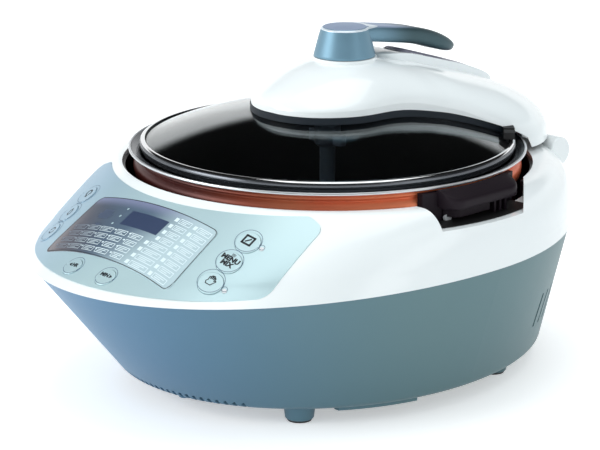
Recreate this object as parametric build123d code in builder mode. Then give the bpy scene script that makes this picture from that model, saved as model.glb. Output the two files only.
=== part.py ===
from build123d import *
import math
import os

os.makedirs("parts", exist_ok=True)

# Frame: +Z up, the control panel faces -Y, the lid hinges at +Y, the bench is Z = 0.
# The origin is under the middle of the housing. Sizes are millimetres.
# Levels such as split_level are measured from the bowl's flange, negative going down.

# Housing
body_width = 344.0
nose_reach = 241.0
rear_reach = 186.0
base_width = 286.0
base_nose_reach = 164.0
base_rear_reach = 176.0
rim_height = 163.0
opening_radius = 149.0
opening_level = -10.0
split_level = -57.0
base_level = -150.0
split_tilt = 1.0
shell_wall = 3.0
shoulder_power = 3.2
base_round = 6.0
split_step = 0.9

# Clearances
part_gap = 0.3
running_gap = 0.05
seat_gap = 0.1

# Well, bowl and heater
skirt_wall = 2.5
skirt_depth = 30.0
liner_wall = 2.0
liner_level = -124.0
liner_taper_level = -95.0
liner_floor_radius = 122.0
bowl_flange_radius = 145.0
bowl_radius = 139.3
bowl_neck_radius = 137.0
bowl_base_radius = 117.0
bowl_level = -105.0
bowl_wall = 2.5
chimney_radius = 4.6
chimney_level = -12.0
heater_radius = 78.0
heater_tube = 4.0
reflector_wall = 1.4

# Side notches and bowl handles
notch_level = -23.5
notch_front = 54.0
notch_rear = 46.0
grip_reach = 157.0
grip_length = 66.0
grip_thickness = 4.8
grip_level = -8.6
bracket_length = 92.0
bracket_wall = 4.5
handle_screw_y = 28.0
handle_screw_level = -21.5

# Drive
shaft_radius = 3.0
paddle_tube_radius = 5.6
paddle_reach = 112.0
knob_radius = 9.5
knob_top = 25.0

# Lid
glass_edge_radius = 134.5
glass_rise = 27.0
glass_foot = 3.9
glass_wall = 3.5
rim_outer_radius = 136.7
heater_hole_radius = 38.0
heater_back = 20.0
gasket_thickness = 5.0
cover_wall = 2.6
hub_back = 17.0
hub_level = 60.5
hub_radius = 22.2
hinge_back = 163.0
hinge_level = -19.0
barrel_radius = 9.5
cradle_radius = 11.0
swing_radius = 28.0
swing_half_width = 72.0
pin_radius = 3.0
pin_length = 160.0
lug_width = 40.0
barrel_end = 54.0

# Controls
fascia_drop = 1.05
fascia_rise = 0.35
window_rise = 0.55
button_radius = 8.7
time_button_radius = 7.4
button_proud = 0.9
button_length = 5.0
button_travel = 0.8
board_wall = 1.6

# Feet
foot_radius = 11.5
foot_tip_radius = 10.0
foot_height = 11.5
pad_height = 1.5
front_foot = (83.0, -108.0)
rear_foot = (108.0, 64.0)

bowl_y = (nose_reach - rear_reach) / 2
half_width = body_width / 2
half_base = base_width / 2
hinge_y = bowl_y + hinge_back
hinge_z = rim_height + hinge_level


def save(piece, name):
    piece.part.label = name
    export_step(piece.part, f"parts/{name}.step")


def bowl_plane(level, tilt=0.0):
    """Plane on the bowl's axis at a level, tilted so that it climbs towards the hinge."""
    lean = math.radians(tilt)
    return Plane(
        origin=(0, bowl_y, rim_height + level),
        x_dir=(1, 0, 0),
        z_dir=(0, -math.sin(lean), math.cos(lean)),
    )


# Radius and level plane through the bowl's axis, for turned pieces
turning_plane = Plane(origin=(0, bowl_y, rim_height), x_dir=(1, 0, 0), z_dir=(0, -1, 0))
bowl_axis = Axis((0, bowl_y, 0), (0, 0, 1))


def turned(points):
    """A piece turned round the bowl's axis from (radius, level) points."""
    with BuildPart() as piece:
        with BuildSketch(turning_plane):
            with BuildLine():
                Polyline(*points, close=True)
            make_face()
        revolve(axis=bowl_axis)
    return piece


def oval(plane, side, front, rear):
    """Two half ellipses that meet at the widest point of the housing."""
    with BuildSketch(plane) as outline:
        with BuildLine():
            EllipticalCenterArc((0, 0), side, rear, start_angle=0, arc_size=180)
            EllipticalCenterArc((0, 0), side, front, start_angle=180, arc_size=180)
        make_face()
    return outline.sketch


def prism(points, low, high, corner=0.0):
    """An upright block over an outline given from the bowl's axis."""
    with BuildPart() as block:
        with BuildSketch(bowl_plane(low)) as outline:
            with BuildLine():
                Polyline(*points, close=True)
            make_face()
            if corner > 0:
                fillet(outline.vertices(), corner)
        extrude(amount=high - low)
    return block


def mirrored(points):
    """Right-hand outline points, front to rear, closed round the left-hand side."""
    return list(points) + [(-x, y) for x, y in reversed(points)]


# The white shell: straight down the front slope, a full shoulder at the sides and rear
def shoulder(fall):
    return (1 - (1 - fall) ** shoulder_power) ** (1 / shoulder_power)


def upper_reach(fall):
    """Side, front and rear reach, from the opening (fall 0) to the split (fall 1)."""
    side = opening_radius + (half_width - opening_radius) * shoulder(fall)
    front = opening_radius + (nose_reach - opening_radius) * fall
    rear = opening_radius + (rear_reach - opening_radius) * shoulder(fall)
    return side, front, rear


def upper_level(fall):
    return opening_level + (split_level - opening_level) * fall


shoulder_falls = (0.0, 0.012, 0.05, 0.12, 0.24, 0.42, 0.7, 1.0)


def upper_form(inset, drop):
    """The white shell's solid form, drawn in at the sides and lowered."""
    with BuildPart() as form:
        sections = []
        for fall in shoulder_falls:
            side, front, rear = upper_reach(fall)
            pull = inset * shoulder(fall)
            plane = bowl_plane(upper_level(fall) - drop, split_tilt * fall)
            sections.append(oval(plane, side - pull, front - 1.6 * inset * fall, rear - pull))
        loft(sections=sections)
    return form


def front_point(x, y):
    """The point of the front slope over (x, y), and its level above it."""
    low, high = 0.0, 1.0
    for _ in range(40):
        fall = (low + high) / 2
        side, front, rear = upper_reach(fall)
        if (x / side) ** 2 + (y / front) ** 2 > 1:
            low = fall
        else:
            high = fall
    return upper_level(fall) + y * math.tan(math.radians(split_tilt * fall))


def slope_plane(x, y, rise=0.0):
    """Plane that lies on the front slope at (x, y), x and y from the bowl's axis."""
    step = 0.5
    slope_x = (front_point(x + step, y) - front_point(x - step, y)) / (2 * step)
    slope_y = (front_point(x, y + step) - front_point(x, y - step)) / (2 * step)
    normal = Vector(-slope_x, -slope_y, 1).normalized()
    spot = Vector(x, bowl_y + y, rim_height + front_point(x, y)) + normal * rise
    return Plane(origin=spot, x_dir=(1, 0, slope_x), z_dir=normal)


# The lower shell tapers from the split to the base, with a rounded lower edge
def lower_reach(drop, inset):
    """Side, front and rear reach at a share of the way down from the split."""
    side = half_width - split_step + (half_base - half_width) * drop
    front = nose_reach - split_step + (base_nose_reach - nose_reach) * drop
    rear = rear_reach - split_step + (base_rear_reach - rear_reach) * drop
    return side - inset, front - 1.3 * inset, rear - inset


def lower_form(inset, floor, rounding):
    """The grey shell's solid form, drawn in by a wall and ending on a floor."""
    height = split_level - base_level
    with BuildPart() as form:
        sections = []
        for drop in (0.0, 1 - floor / height):
            plane = bowl_plane(split_level - drop * height, split_tilt * (1 - drop))
            sections.append(oval(plane, *lower_reach(drop, inset)))
        loft(sections=sections, ruled=True)
        if rounding > 0:
            fillet(form.edges().group_by(Axis.Z)[0], rounding)
    return form


# Lower shell
base_side, base_front, base_rear = lower_reach(1.0, base_round)
skirt_front = -94.0
skirt_rear = -40.0
hatch_side = 96.0
hatch_reach = 84.0
inlet_level = -122.0
inlet_width = 31.0
inlet_height = 24.0
inlet_face = 181.0
vent_pitch = 5.6
vent_slot = 2.8
vent_count = 25

lower_outer = lower_form(0, 0, base_round)
lower_inner = lower_form(shell_wall, shell_wall, 0)
with BuildPart() as lower_shell:
    add(lower_outer.part)
    # Short skirt at each side, which steps down behind the front foot
    with BuildSketch(bowl_plane(base_level)) as skirt:
        add(oval(Plane.XY, base_side - 1.0, base_front - 1.0, base_rear - 1.0))
        add(oval(Plane.XY, base_side - 4.5, base_front - 4.5, base_rear - 4.5), mode=Mode.SUBTRACT)
        with Locations((0, (skirt_front + skirt_rear) / 2)):
            Rectangle(2 * base_side, skirt_rear - skirt_front, mode=Mode.INTERSECT)
    extrude(amount=-4.0)
    # Flat pad for the mains inlet
    with Locations((0, bowl_y + inlet_face - 8, rim_height + inlet_level)):
        Box(inlet_width + 16, 16, inlet_height + 12)
    add(lower_inner.part, mode=Mode.SUBTRACT)
    with Locations((0, bowl_y + inlet_face - 8, rim_height + inlet_level)):
        Box(inlet_width - 4 + 2 * seat_gap, 40, inlet_height - 4 + 2 * seat_gap, mode=Mode.SUBTRACT)
    # Hatch in the floor, closed by the base plate
    with BuildSketch(bowl_plane(base_level - 1)):
        Ellipse(hatch_side, hatch_reach)
    extrude(amount=shell_wall + 2, mode=Mode.SUBTRACT)
    # Air slots along the front lower edge, and under the fan
    for index in range(vent_count):
        slot_x = (index - (vent_count - 1) / 2) * vent_pitch
        slot_y = -base_front * math.sqrt(1 - (slot_x / base_side) ** 2)
        with Locations((slot_x, bowl_y + slot_y - 3, rim_height + base_level + 2.5)):
            Box(vent_slot, 18, 9, mode=Mode.SUBTRACT)
    with BuildSketch(bowl_plane(base_level - 1)):
        with Locations((0, -114)):
            with GridLocations(9, 1, 6, 1):
                SlotOverall(44, 3, rotation=90)
    extrude(amount=shell_wall + 2, mode=Mode.SUBTRACT)
    # Exhaust slots at both rear corners
    with Locations(Location((0, bowl_y, rim_height - 112))):
        for start in (29, 125):
            with PolarLocations(168, 6, start_angle=start, angular_range=26):
                Box(34, 3.2, 26, mode=Mode.SUBTRACT)
save(lower_shell, "lower_shell")

# Base plate over the hatch, with its screws
plate_wall = 2.0
base_screw_count = 6
with BuildPart() as base_plate:
    with BuildSketch(bowl_plane(base_level)):
        Ellipse(hatch_side + 8, hatch_reach + 8)
        with GridLocations(8, 1, 7, 1):
            SlotOverall(50, 3, rotation=90, mode=Mode.SUBTRACT)
    extrude(amount=-plate_wall)
save(base_plate, "base_plate")

with BuildPart() as base_screws:
    for index in range(base_screw_count):
        angle = math.radians(30 + 360 / base_screw_count * index)
        spot = ((hatch_side + 4) * math.cos(angle), (hatch_reach + 4) * math.sin(angle))
        with BuildSketch(bowl_plane(base_level - plate_wall)):
            with Locations(spot):
                Circle(3.2)
        extrude(amount=-1.6)
save(base_screws, "base_screws")

# Feet, with rubber pads
foot_spots = {
    "front_right_foot": front_foot,
    "front_left_foot": (-front_foot[0], front_foot[1]),
    "rear_right_foot": rear_foot,
    "rear_left_foot": (-rear_foot[0], rear_foot[1]),
}
for name, spot in foot_spots.items():
    with BuildPart() as foot:
        with BuildSketch(bowl_plane(base_level)):
            with Locations(spot):
                Circle(foot_radius)
        with BuildSketch(bowl_plane(base_level - foot_height)):
            with Locations(spot):
                Circle(foot_tip_radius)
        loft()
        fillet(foot.edges().group_by(Axis.Z)[0], 1.2)
    save(foot, name)

with BuildPart() as foot_pads:
    for spot in foot_spots.values():
        with BuildSketch(bowl_plane(base_level - foot_height)):
            with Locations(spot):
                Circle(foot_tip_radius - 1.5)
        extrude(amount=-pad_height)
save(foot_pads, "foot_pads")

stub_reach = 146.0
with BuildPart() as front_stub:
    with BuildSketch(bowl_plane(base_level)):
        with Locations((0, -stub_reach + 6)):
            Circle(5.2)
    extrude(amount=-10.0, taper=4)
    fillet(front_stub.edges().group_by(Axis.Z)[0], 1.0)
save(front_stub, "front_stub")

# Upper shell
fascia_half = 116.0
fascia_top = 118.0
fascia_border = 4.6
fascia_rim = 7.5
window_half_top = 62.0
window_half_bottom = 64.5
window_top = 161.5
window_bottom = 211.5
lcd_spot = (4.0, -177.0)
lcd_size = (42.0, 14.0)
start_spot = (84.0, -156.5)
menu_spot = (84.0, -173.5)
manual_spot = (84.0, -190.0)
buttons = {
    "start_button": start_spot,
    "menu_button": menu_spot,
    "manual_button": manual_spot,
    "light_button": (-start_spot[0], start_spot[1]),
    "heat_button": (-menu_spot[0], menu_spot[1]),
    "mix_button": (-manual_spot[0], manual_spot[1]),
    "hour_button": (-18.5, -223.0),
    "minute_button": (16.0, -223.0),
}
time_buttons = ("hour_button", "minute_button")
light_radius = 1.6
light_offset = (10.4, 2.6)
light_spots = [(spot[0] + light_offset[0], spot[1] + light_offset[1]) for spot in (start_spot, manual_spot)]


def fascia_block(grow):
    """Upright block over the fascia's outline, for its pocket and its panel."""
    border = fascia_border - grow
    with BuildPart() as block:
        with BuildSketch(bowl_plane(split_level + 0.5)) as outline:
            add(oval(Plane.XY, half_width - border, nose_reach - border, rear_reach))
            Circle(opening_radius + fascia_rim - grow, mode=Mode.SUBTRACT)
            with Locations((0, -fascia_top - 100 + grow)):
                Rectangle(2 * (fascia_half + grow), 200, mode=Mode.INTERSECT)
            fillet(outline.vertices().sort_by(Axis.Y)[:2], 20 + grow)
            fillet(outline.vertices().sort_by(Axis.Y)[-4:], 5)
        extrude(amount=70)
    return block


def window_block(grow):
    """Upright block over the display window's outline."""
    top = -window_top + grow
    bottom = -window_bottom - grow
    right = ((window_half_bottom + grow, bottom), (window_half_top + grow, top))
    return prism(mirrored(right), split_level + 0.5, 10, 5.0)


def notch_block(grow):
    """Right-hand opening for a bowl handle; the left-hand one is its mirror image."""
    outline = (
        (opening_radius - 26, -notch_front - grow),
        (half_width + 20, -notch_front + 5 - grow),
        (half_width + 20, notch_rear - 50 + grow),
        (opening_radius - 26, notch_rear + 29 + grow),
    )
    return prism(outline, notch_level - grow, 30, 9.0 + grow)


def hinge_cylinder(radius, length):
    with BuildPart() as rod:
        with BuildSketch(Plane(origin=(-length / 2, hinge_y, hinge_z), x_dir=(0, 1, 0), z_dir=(1, 0, 0))):
            Circle(radius)
        extrude(amount=length)
    return rod


def swing_space(radius, half, grow):
    """Room behind the hinge axis that the lid's rear edge swings through."""
    with BuildPart() as space:
        with BuildSketch(Plane(origin=(-half - grow, hinge_y, hinge_z), x_dir=(0, 1, 0), z_dir=(1, 0, 0))):
            Circle(radius + grow)
            with Locations((-radius * 1.5, 0)):
                Rectangle(3 * radius - 2 * grow, 4 * radius, mode=Mode.SUBTRACT)
        extrude(amount=2 * (half + grow))
        with Locations((0, hinge_y + (radius - cradle_radius) / 2, hinge_z + 25)):
            Box(2 * half, radius + cradle_radius, 50)
    return space


upper_outer = upper_form(0, 0)
upper_inner = upper_form(shell_wall, shell_wall)
panel_top = upper_form(-fascia_rise, -fascia_rise)
panel_bed = upper_form(fascia_drop, fascia_drop)
window_top_form = upper_form(-window_rise, -window_rise)
cap_end = pin_length / 2 + 4.0

with BuildPart() as cavity:
    add(upper_inner.part)
    with BuildSketch(bowl_plane(20)):
        Circle(opening_radius + skirt_wall)
    extrude(amount=-(20 - opening_level + skirt_depth), mode=Mode.SUBTRACT)

with BuildPart() as housing_walls:
    add(hinge_cylinder(cradle_radius + 2.5, 2 * cap_end + 5).part)
    add(swing_space(swing_radius, swing_half_width, 2.5).part)
    add(notch_block(2.5).part)
    add(mirror(notch_block(2.5).part, about=Plane.YZ, mode=Mode.PRIVATE))
    add(upper_outer.part, mode=Mode.INTERSECT)

with BuildPart() as hinge_room:
    add(hinge_cylinder(cradle_radius, 2 * cap_end).part)
    add(swing_space(swing_radius, swing_half_width, 0).part)
    with Locations((0, hinge_y, hinge_z + 25)):
        Box(2 * cap_end, 2 * cradle_radius, 50)

with BuildPart() as upper_shell:
    add(upper_outer.part)
    add(cavity.part, mode=Mode.SUBTRACT)
    add(housing_walls.part)
    with BuildSketch(bowl_plane(20)):
        Circle(opening_radius)
    extrude(amount=-200, mode=Mode.SUBTRACT)
    add(hinge_room.part, mode=Mode.SUBTRACT)
    add(notch_block(0).part, mode=Mode.SUBTRACT)
    add(mirror(notch_block(0).part, about=Plane.YZ, mode=Mode.PRIVATE), mode=Mode.SUBTRACT)

with BuildPart() as fascia_pocket:
    add(fascia_block(seat_gap).part)
    add(panel_bed.part, mode=Mode.SUBTRACT)

with BuildPart() as control_fascia:
    add(panel_top.part)
    add(fascia_block(0).part, mode=Mode.INTERSECT)
    add(panel_bed.part, mode=Mode.SUBTRACT)
    add(window_block(seat_gap).part, mode=Mode.SUBTRACT)

with BuildPart() as display_window:
    add(window_top_form.part)
    add(window_block(0).part, mode=Mode.INTERSECT)
    add(panel_bed.part, mode=Mode.SUBTRACT)
save(display_window, "display_window")

with BuildPart() as panel_holes:
    for name, spot in buttons.items():
        radius = time_button_radius if name in time_buttons else button_radius
        with BuildSketch(slope_plane(*spot, -12)):
            Circle(radius + part_gap)
        extrude(amount=20)
    for spot in light_spots:
        with BuildSketch(slope_plane(*spot, -12)):
            Circle(light_radius + seat_gap)
        extrude(amount=20)

with BuildPart() as upper_finished:
    add(upper_shell.part)
    add(fascia_pocket.part, mode=Mode.SUBTRACT)
    add(window_block(-4).part, mode=Mode.SUBTRACT)
    add(panel_holes.part, mode=Mode.SUBTRACT)
save(upper_finished, "upper_shell")

with BuildPart() as fascia_finished:
    add(control_fascia.part)
    add(panel_holes.part, mode=Mode.SUBTRACT)
save(fascia_finished, "control_fascia")

# Buttons, each square to the slope where it stands
for name, spot in buttons.items():
    radius = time_button_radius if name in time_buttons else button_radius
    with BuildPart() as button:
        with BuildSketch(slope_plane(*spot, button_proud - button_length)):
            Circle(radius)
        extrude(amount=button_length)
        fillet(button.edges().filter_by(GeomType.CIRCLE).sort_by(Axis.Z)[-1:], 0.4)
    save(button, name)

with BuildPart() as indicator_lights:
    for spot in light_spots:
        with BuildSketch(slope_plane(*spot, -2.6)):
            Circle(light_radius)
        extrude(amount=3.2)
save(indicator_lights, "indicator_lights")

# Boards behind the panel, with a switch under each button
with BuildPart() as display_board:
    with BuildSketch(slope_plane(0, lcd_spot[1], -14.0)) as board_outline:
        with BuildLine():
            Polyline(*mirrored(((28, -52), (46, -26), (46, 13))), close=True)
        make_face()
    extrude(amount=-board_wall)
save(display_board, "display_board")

switch_height = 2.5
switch_top = button_proud - button_length - button_travel - 0.1
side_board_rise = switch_top - switch_height - 1.9
time_switch_height = 6.9
with BuildPart() as button_switches:
    for name, spot in buttons.items():
        with BuildSketch(slope_plane(*spot, switch_top)):
            Circle(1.8)
        extrude(amount=-1.0)
        with BuildSketch(slope_plane(*spot, switch_top - 1.0)):
            Rectangle(6, 6)
        extrude(amount=-time_switch_height if name in time_buttons else -switch_height)
    add(display_board.part, mode=Mode.SUBTRACT)
save(button_switches, "button_switches")

for name, side in (("right_button_board", 1), ("left_button_board", -1)):
    with BuildPart() as side_board:
        with BuildSketch(slope_plane(side * menu_spot[0], menu_spot[1], side_board_rise)):
            Rectangle(14, 44)
        extrude(amount=-board_wall)
    save(side_board, name)

# Display: the glass block behind the window
lcd_frame = 12.0
with BuildPart() as lcd_display:
    with BuildSketch(slope_plane(*lcd_spot, -shell_wall + 0.2)):
        Rectangle(lcd_size[0] + lcd_frame, lcd_size[1] + lcd_frame / 2)
    extrude(amount=-(14.0 - shell_wall - 0.2))
save(lcd_display, "lcd_display")

# Well liner, cut for the side notches
liner_inside = opening_radius - skirt_wall + 0.3
liner_outside = liner_inside + liner_wall
liner_lip = opening_level - skirt_depth - 2.4
liner_points = (
    (8.0, liner_level),
    (liner_floor_radius, liner_level),
    (liner_outside, liner_taper_level),
    (liner_outside, liner_lip),
    (opening_radius + skirt_wall, liner_lip),
    (opening_radius + skirt_wall, liner_lip + 2.3),
    (liner_outside, liner_lip + 2.3),
    (liner_outside, opening_level - 3),
    (liner_inside, opening_level - 3),
    (liner_inside, liner_taper_level + 0.8),
    (liner_floor_radius - 0.8, liner_level + liner_wall),
    (8.0, liner_level + liner_wall),
)
# Heater under the bowl, on its reflector, with the thermostat beside it
heater_level = bowl_level - 0.6 - heater_tube
terminal_angle = 60.0
with BuildPart() as lower_heater:
    with BuildSketch(turning_plane):
        with Locations((heater_radius, heater_level)):
            Circle(heater_tube)
    revolve(axis=bowl_axis)
    for angle in (terminal_angle, terminal_angle + 14):
        x = heater_radius * math.cos(math.radians(angle))
        y = heater_radius * math.sin(math.radians(angle))
        with BuildSketch(bowl_plane(heater_level)):
            with Locations((x, y)):
                Circle(2.6)
        extrude(amount=-(heater_level - liner_level + 7))
save(lower_heater, "lower_heater")

reflector_level = heater_level - heater_tube - 0.4 - reflector_wall
reflector_points = (
    (20.0, reflector_level),
    (60.0, reflector_level),
    (60.0, liner_level + liner_wall),
    (62.0, liner_level + liner_wall),
    (62.0, reflector_level),
    (100.0, reflector_level),
    (104.0, reflector_level + 3),
    (103.0, reflector_level + 4.2),
    (99.4, reflector_level + reflector_wall),
    (20.0, reflector_level + reflector_wall),
)
thermostat_x = 45.0
thermostat_radius = 9.0
with BuildPart() as heater_reflector:
    add(turned(reflector_points).part)
    with BuildSketch(bowl_plane(reflector_level - 2)):
        with Locations((thermostat_x, 0)):
            Circle(thermostat_radius + part_gap)
        for angle in (terminal_angle, terminal_angle + 14):
            with Locations(Vector(heater_radius, 0).rotate(Axis.Z, angle)):
                Circle(4.0)
    extrude(amount=6, mode=Mode.SUBTRACT)
save(heater_reflector, "heater_reflector")

with BuildPart() as bowl_thermostat:
    with BuildSketch(bowl_plane(liner_level + liner_wall)):
        with Locations((thermostat_x, 0)):
            Circle(thermostat_radius)
    extrude(amount=bowl_level - 0.4 - liner_level - liner_wall)
save(bowl_thermostat, "bowl_thermostat")

with BuildPart() as well_liner:
    add(turned(liner_points).part)
    add(notch_block(2.5 + part_gap).part, mode=Mode.SUBTRACT)
    add(mirror(notch_block(2.5 + part_gap).part, about=Plane.YZ, mode=Mode.PRIVATE), mode=Mode.SUBTRACT)
    with BuildSketch(bowl_plane(liner_level - 1)):
        for angle in (terminal_angle, terminal_angle + 14):
            with Locations(Vector(heater_radius, 0).rotate(Axis.Z, angle)):
                Circle(3.4)
    extrude(amount=liner_wall + 2, mode=Mode.SUBTRACT)
save(well_liner, "well_liner")

# Drive: shaft through the bowl's chimney, its gearbox and motor
shaft_foot = -134.0
with BuildPart() as drive_shaft:
    with BuildSketch(bowl_plane(shaft_foot)):
        Circle(shaft_radius)
    extrude(amount=2.0 - shaft_foot)
    chamfer(drive_shaft.edges().group_by(Axis.Z)[-1], 0.6)
save(drive_shaft, "drive_shaft")

gearbox_floor = -137.0
with BuildPart() as stirrer_gearbox:
    with BuildSketch(bowl_plane(gearbox_floor)) as case:
        with Locations((6, 0)):
            Rectangle(84, 64)
        fillet(case.vertices(), 8)
    extrude(amount=liner_level - 0.1 - gearbox_floor)
    with BuildSketch(bowl_plane(shaft_foot - 0.3)):
        Circle(shaft_radius + running_gap)
    extrude(amount=20, mode=Mode.SUBTRACT)
save(stirrer_gearbox, "stirrer_gearbox")

motor_radius = 25.0
with BuildPart() as stirrer_motor:
    with BuildSketch(bowl_plane(gearbox_floor)):
        with Locations((0, -4)):
            Circle(motor_radius)
    extrude(amount=-9.8)
    with BuildSketch(bowl_plane(gearbox_floor)):
        with Locations((0, -4)):
            Rectangle(62, 14)
    extrude(amount=-1.6)
save(stirrer_motor, "stirrer_motor")

# Bowl, turned with its flange, rolled bead and centre chimney
bowl_inner_base = bowl_base_radius - 0.5
with BuildPart() as bowl:
    with BuildSketch(turning_plane):
        with BuildLine():
            Polyline((shaft_radius + running_gap, chimney_level), (shaft_radius + running_gap, bowl_level),
                     (bowl_base_radius, bowl_level))
            ThreePointArc((bowl_base_radius, bowl_level), (126.5, -101), (131, -91))
            Line((131, -91), (bowl_radius, -17))
            ThreePointArc((bowl_radius, -17), (140.6, -13.2), (bowl_neck_radius + 0.2, -9))
            Polyline((bowl_neck_radius + 0.2, -9), (bowl_neck_radius, -4.5), (138.5, -3), (143.8, -3),
                     (bowl_flange_radius, -1.5), (143.8, 0), (139, -0.6), (136.6, -1.8), (134.6, -6),
                     (136.9, -18), (128.6, -90))
            ThreePointArc((128.6, -90), (124.6, -99.3), (bowl_inner_base, bowl_level + bowl_wall))
            Polyline((bowl_inner_base, bowl_level + bowl_wall), (chimney_radius, bowl_level + bowl_wall),
                     (chimney_radius, chimney_level), (shaft_radius + running_gap, chimney_level))
        make_face()
    revolve(axis=bowl_axis)
save(bowl, "bowl")

# Stirring paddle over the chimney
paddle_foot = bowl_level + bowl_wall + 1.0
paddle_top = -2.0
with BuildPart() as stirring_paddle:
    with BuildSketch(bowl_plane(paddle_foot)):
        Circle(paddle_tube_radius)
        Circle(chimney_radius + part_gap, mode=Mode.SUBTRACT)
    extrude(amount=paddle_top - paddle_foot)
    for turn in (20, 200):
        with BuildSketch(bowl_plane(paddle_foot)):
            with Locations(Rotation(0, 0, turn)):
                with Locations(((paddle_reach + paddle_tube_radius) / 2 - 0.4, 0)):
                    Rectangle(paddle_reach - paddle_tube_radius + 0.8, 3)
        extrude(amount=11.5)
        with BuildSketch(bowl_plane(paddle_foot)):
            with Locations(Rotation(0, 0, turn)):
                with Locations((paddle_reach - 8, 0)):
                    Rectangle(16, 5)
        extrude(amount=19)
save(stirring_paddle, "stirring_paddle")

with BuildPart() as paddle_knob:
    with BuildSketch(turning_plane):
        with BuildLine():
            Polyline((0, paddle_top), (knob_radius - 2, paddle_top), (knob_radius, 0), (knob_radius, knob_top - 9),
                     (knob_radius - 3.4, knob_top - 6.5), (knob_radius - 3.4, knob_top - 3),
                     (knob_radius - 5, knob_top), (0, knob_top), close=True)
        make_face()
    revolve(axis=bowl_axis)
    with BuildSketch(bowl_plane(0)) as lugs:
        Rectangle(34, 7)
        fillet(lugs.vertices(), 2.5)
    extrude(amount=8)
    with BuildSketch(bowl_plane(paddle_top)):
        Circle(shaft_radius)
    extrude(amount=4.0, mode=Mode.SUBTRACT)
save(paddle_knob, "paddle_knob")

# Bowl handles: a bracket under the flange and a grip that stands out through the notch
grip_start = 141.0
rib_places = (5.0, 10.5, 16.0, 21.5)
bracket_inside = bowl_radius + 0.6 + 0.4
for name, turn in (("bowl_handle_right", 0), ("bowl_handle_left", 180)):
    with BuildPart() as handle:
        with BuildSketch(bowl_plane(-26)):
            Circle(bracket_inside + 0.6 + bracket_wall)
            Circle(bracket_inside + 0.6, mode=Mode.SUBTRACT)
            with Locations((bracket_inside, 0)):
                Rectangle(60, bracket_length, mode=Mode.INTERSECT)
        extrude(amount=22.8)
        with BuildSketch(bowl_plane(-27)):
            with Locations((bracket_inside, 0)):
                Rectangle(60, 40)
        extrude(amount=13, mode=Mode.SUBTRACT)
        with BuildSketch(bowl_plane(grip_level)) as plate:
            with Locations(((grip_start + grip_reach) / 2, 0)):
                Rectangle(grip_reach - grip_start, grip_length)
            fillet(plate.vertices().group_by(Axis.X)[-1], 10)
        extrude(amount=-grip_thickness)
        for rib in rib_places:
            for side in (-1, 1):
                with Locations((148, bowl_y + side * rib, rim_height - 16.5)):
                    Box(8, 1.6, 9)
        with BuildSketch(Plane(origin=(130, bowl_y, rim_height), x_dir=(0, 1, 0), z_dir=(1, 0, 0))):
            with Locations((handle_screw_y, handle_screw_level), (-handle_screw_y, handle_screw_level)):
                Circle(2.2)
        extrude(amount=30, mode=Mode.SUBTRACT)
    with BuildPart() as placed:
        add(handle.part.rotate(bowl_axis, turn))
    save(placed, name)

with BuildPart() as handle_screws:
    for turn in (0, 180):
        for side in (-1, 1):
            with BuildPart() as screw:
                plane = Plane(origin=(130, bowl_y, rim_height), x_dir=(0, 1, 0), z_dir=(1, 0, 0))
                head_x = math.sqrt((bracket_inside + 0.6 + bracket_wall) ** 2 - handle_screw_y ** 2) + 1.0
                with BuildSketch(plane.offset(head_x - 130)):
                    with Locations((side * handle_screw_y, handle_screw_level)):
                        Circle(3.2)
                extrude(amount=1.8)
                with BuildSketch(plane.offset(head_x - 130)):
                    with Locations((side * handle_screw_y, handle_screw_level)):
                        Circle(2.1)
                extrude(amount=-7)
            add(screw.part.rotate(bowl_axis, turn))
save(handle_screws, "handle_screws")

# Cooling fan over the base slots
fan_y = -112.0
fan_floor = -146.9
fan_bore = 28.0
fan_pin = 2.0
fan_blades = 7
with BuildPart() as fan_frame:
    with BuildSketch(bowl_plane(fan_floor)) as frame_outline:
        with Locations((0, fan_y)):
            Rectangle(60, 60)
        fillet(frame_outline.vertices(), 4)
    extrude(amount=15)
    with BuildSketch(bowl_plane(fan_floor)):
        with Locations((0, fan_y)):
            Circle(fan_bore)
    extrude(amount=15, mode=Mode.SUBTRACT)
    with BuildSketch(bowl_plane(fan_floor)):
        with Locations((0, fan_y)):
            Circle(12)
            Rectangle(2 * fan_bore + 1, 3)
            Rectangle(3, 2 * fan_bore + 1)
    extrude(amount=1.6)
    with BuildSketch(bowl_plane(fan_floor)):
        with Locations((0, fan_y)):
            Circle(fan_pin)
    extrude(amount=12)
save(fan_frame, "fan_frame")

with BuildPart() as fan_rotor:
    with BuildSketch(bowl_plane(fan_floor + 1.9)):
        with Locations((0, fan_y)):
            Circle(13)
    extrude(amount=11)
    hub = Pos(0, bowl_y + fan_y, rim_height + fan_floor + 7.3)
    for index in range(fan_blades):
        blade = Box(15, 12, 1.2, mode=Mode.PRIVATE)
        add(hub * Rot(0, 0, 360 / fan_blades * index) * Pos(18.5, 0, 0) * Rot(32, 0, 0) * blade)
    with BuildSketch(bowl_plane(fan_floor)):
        with Locations((0, fan_y)):
            Circle(fan_pin + running_gap)
    extrude(amount=12.6, mode=Mode.SUBTRACT)
save(fan_rotor, "fan_rotor")

# Power board on its edge behind the gearbox, and the mains inlet
with BuildPart() as power_board:
    board_y = bowl_y + 139.0
    board_x = -58.0
    board_rise = 40.0
    board_foot = base_level + shell_wall
    with Locations((board_x, board_y, rim_height + board_foot + board_rise / 2)):
        Box(46, board_wall, board_rise)
    for offset_x, rise, length, height, depth in (
        (-12, 12, 16, 16, 14),
        (8, 11, 18, 12, 12),
        (-14, 33, 12, 12, 10),
        (8, 32, 16, 10, 8),
    ):
        with Locations((board_x + offset_x, board_y - depth / 2, rim_height + board_foot + rise)):
            Box(length, depth, height)
    add(lower_shell.part, mode=Mode.SUBTRACT)
save(power_board, "power_board")

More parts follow.
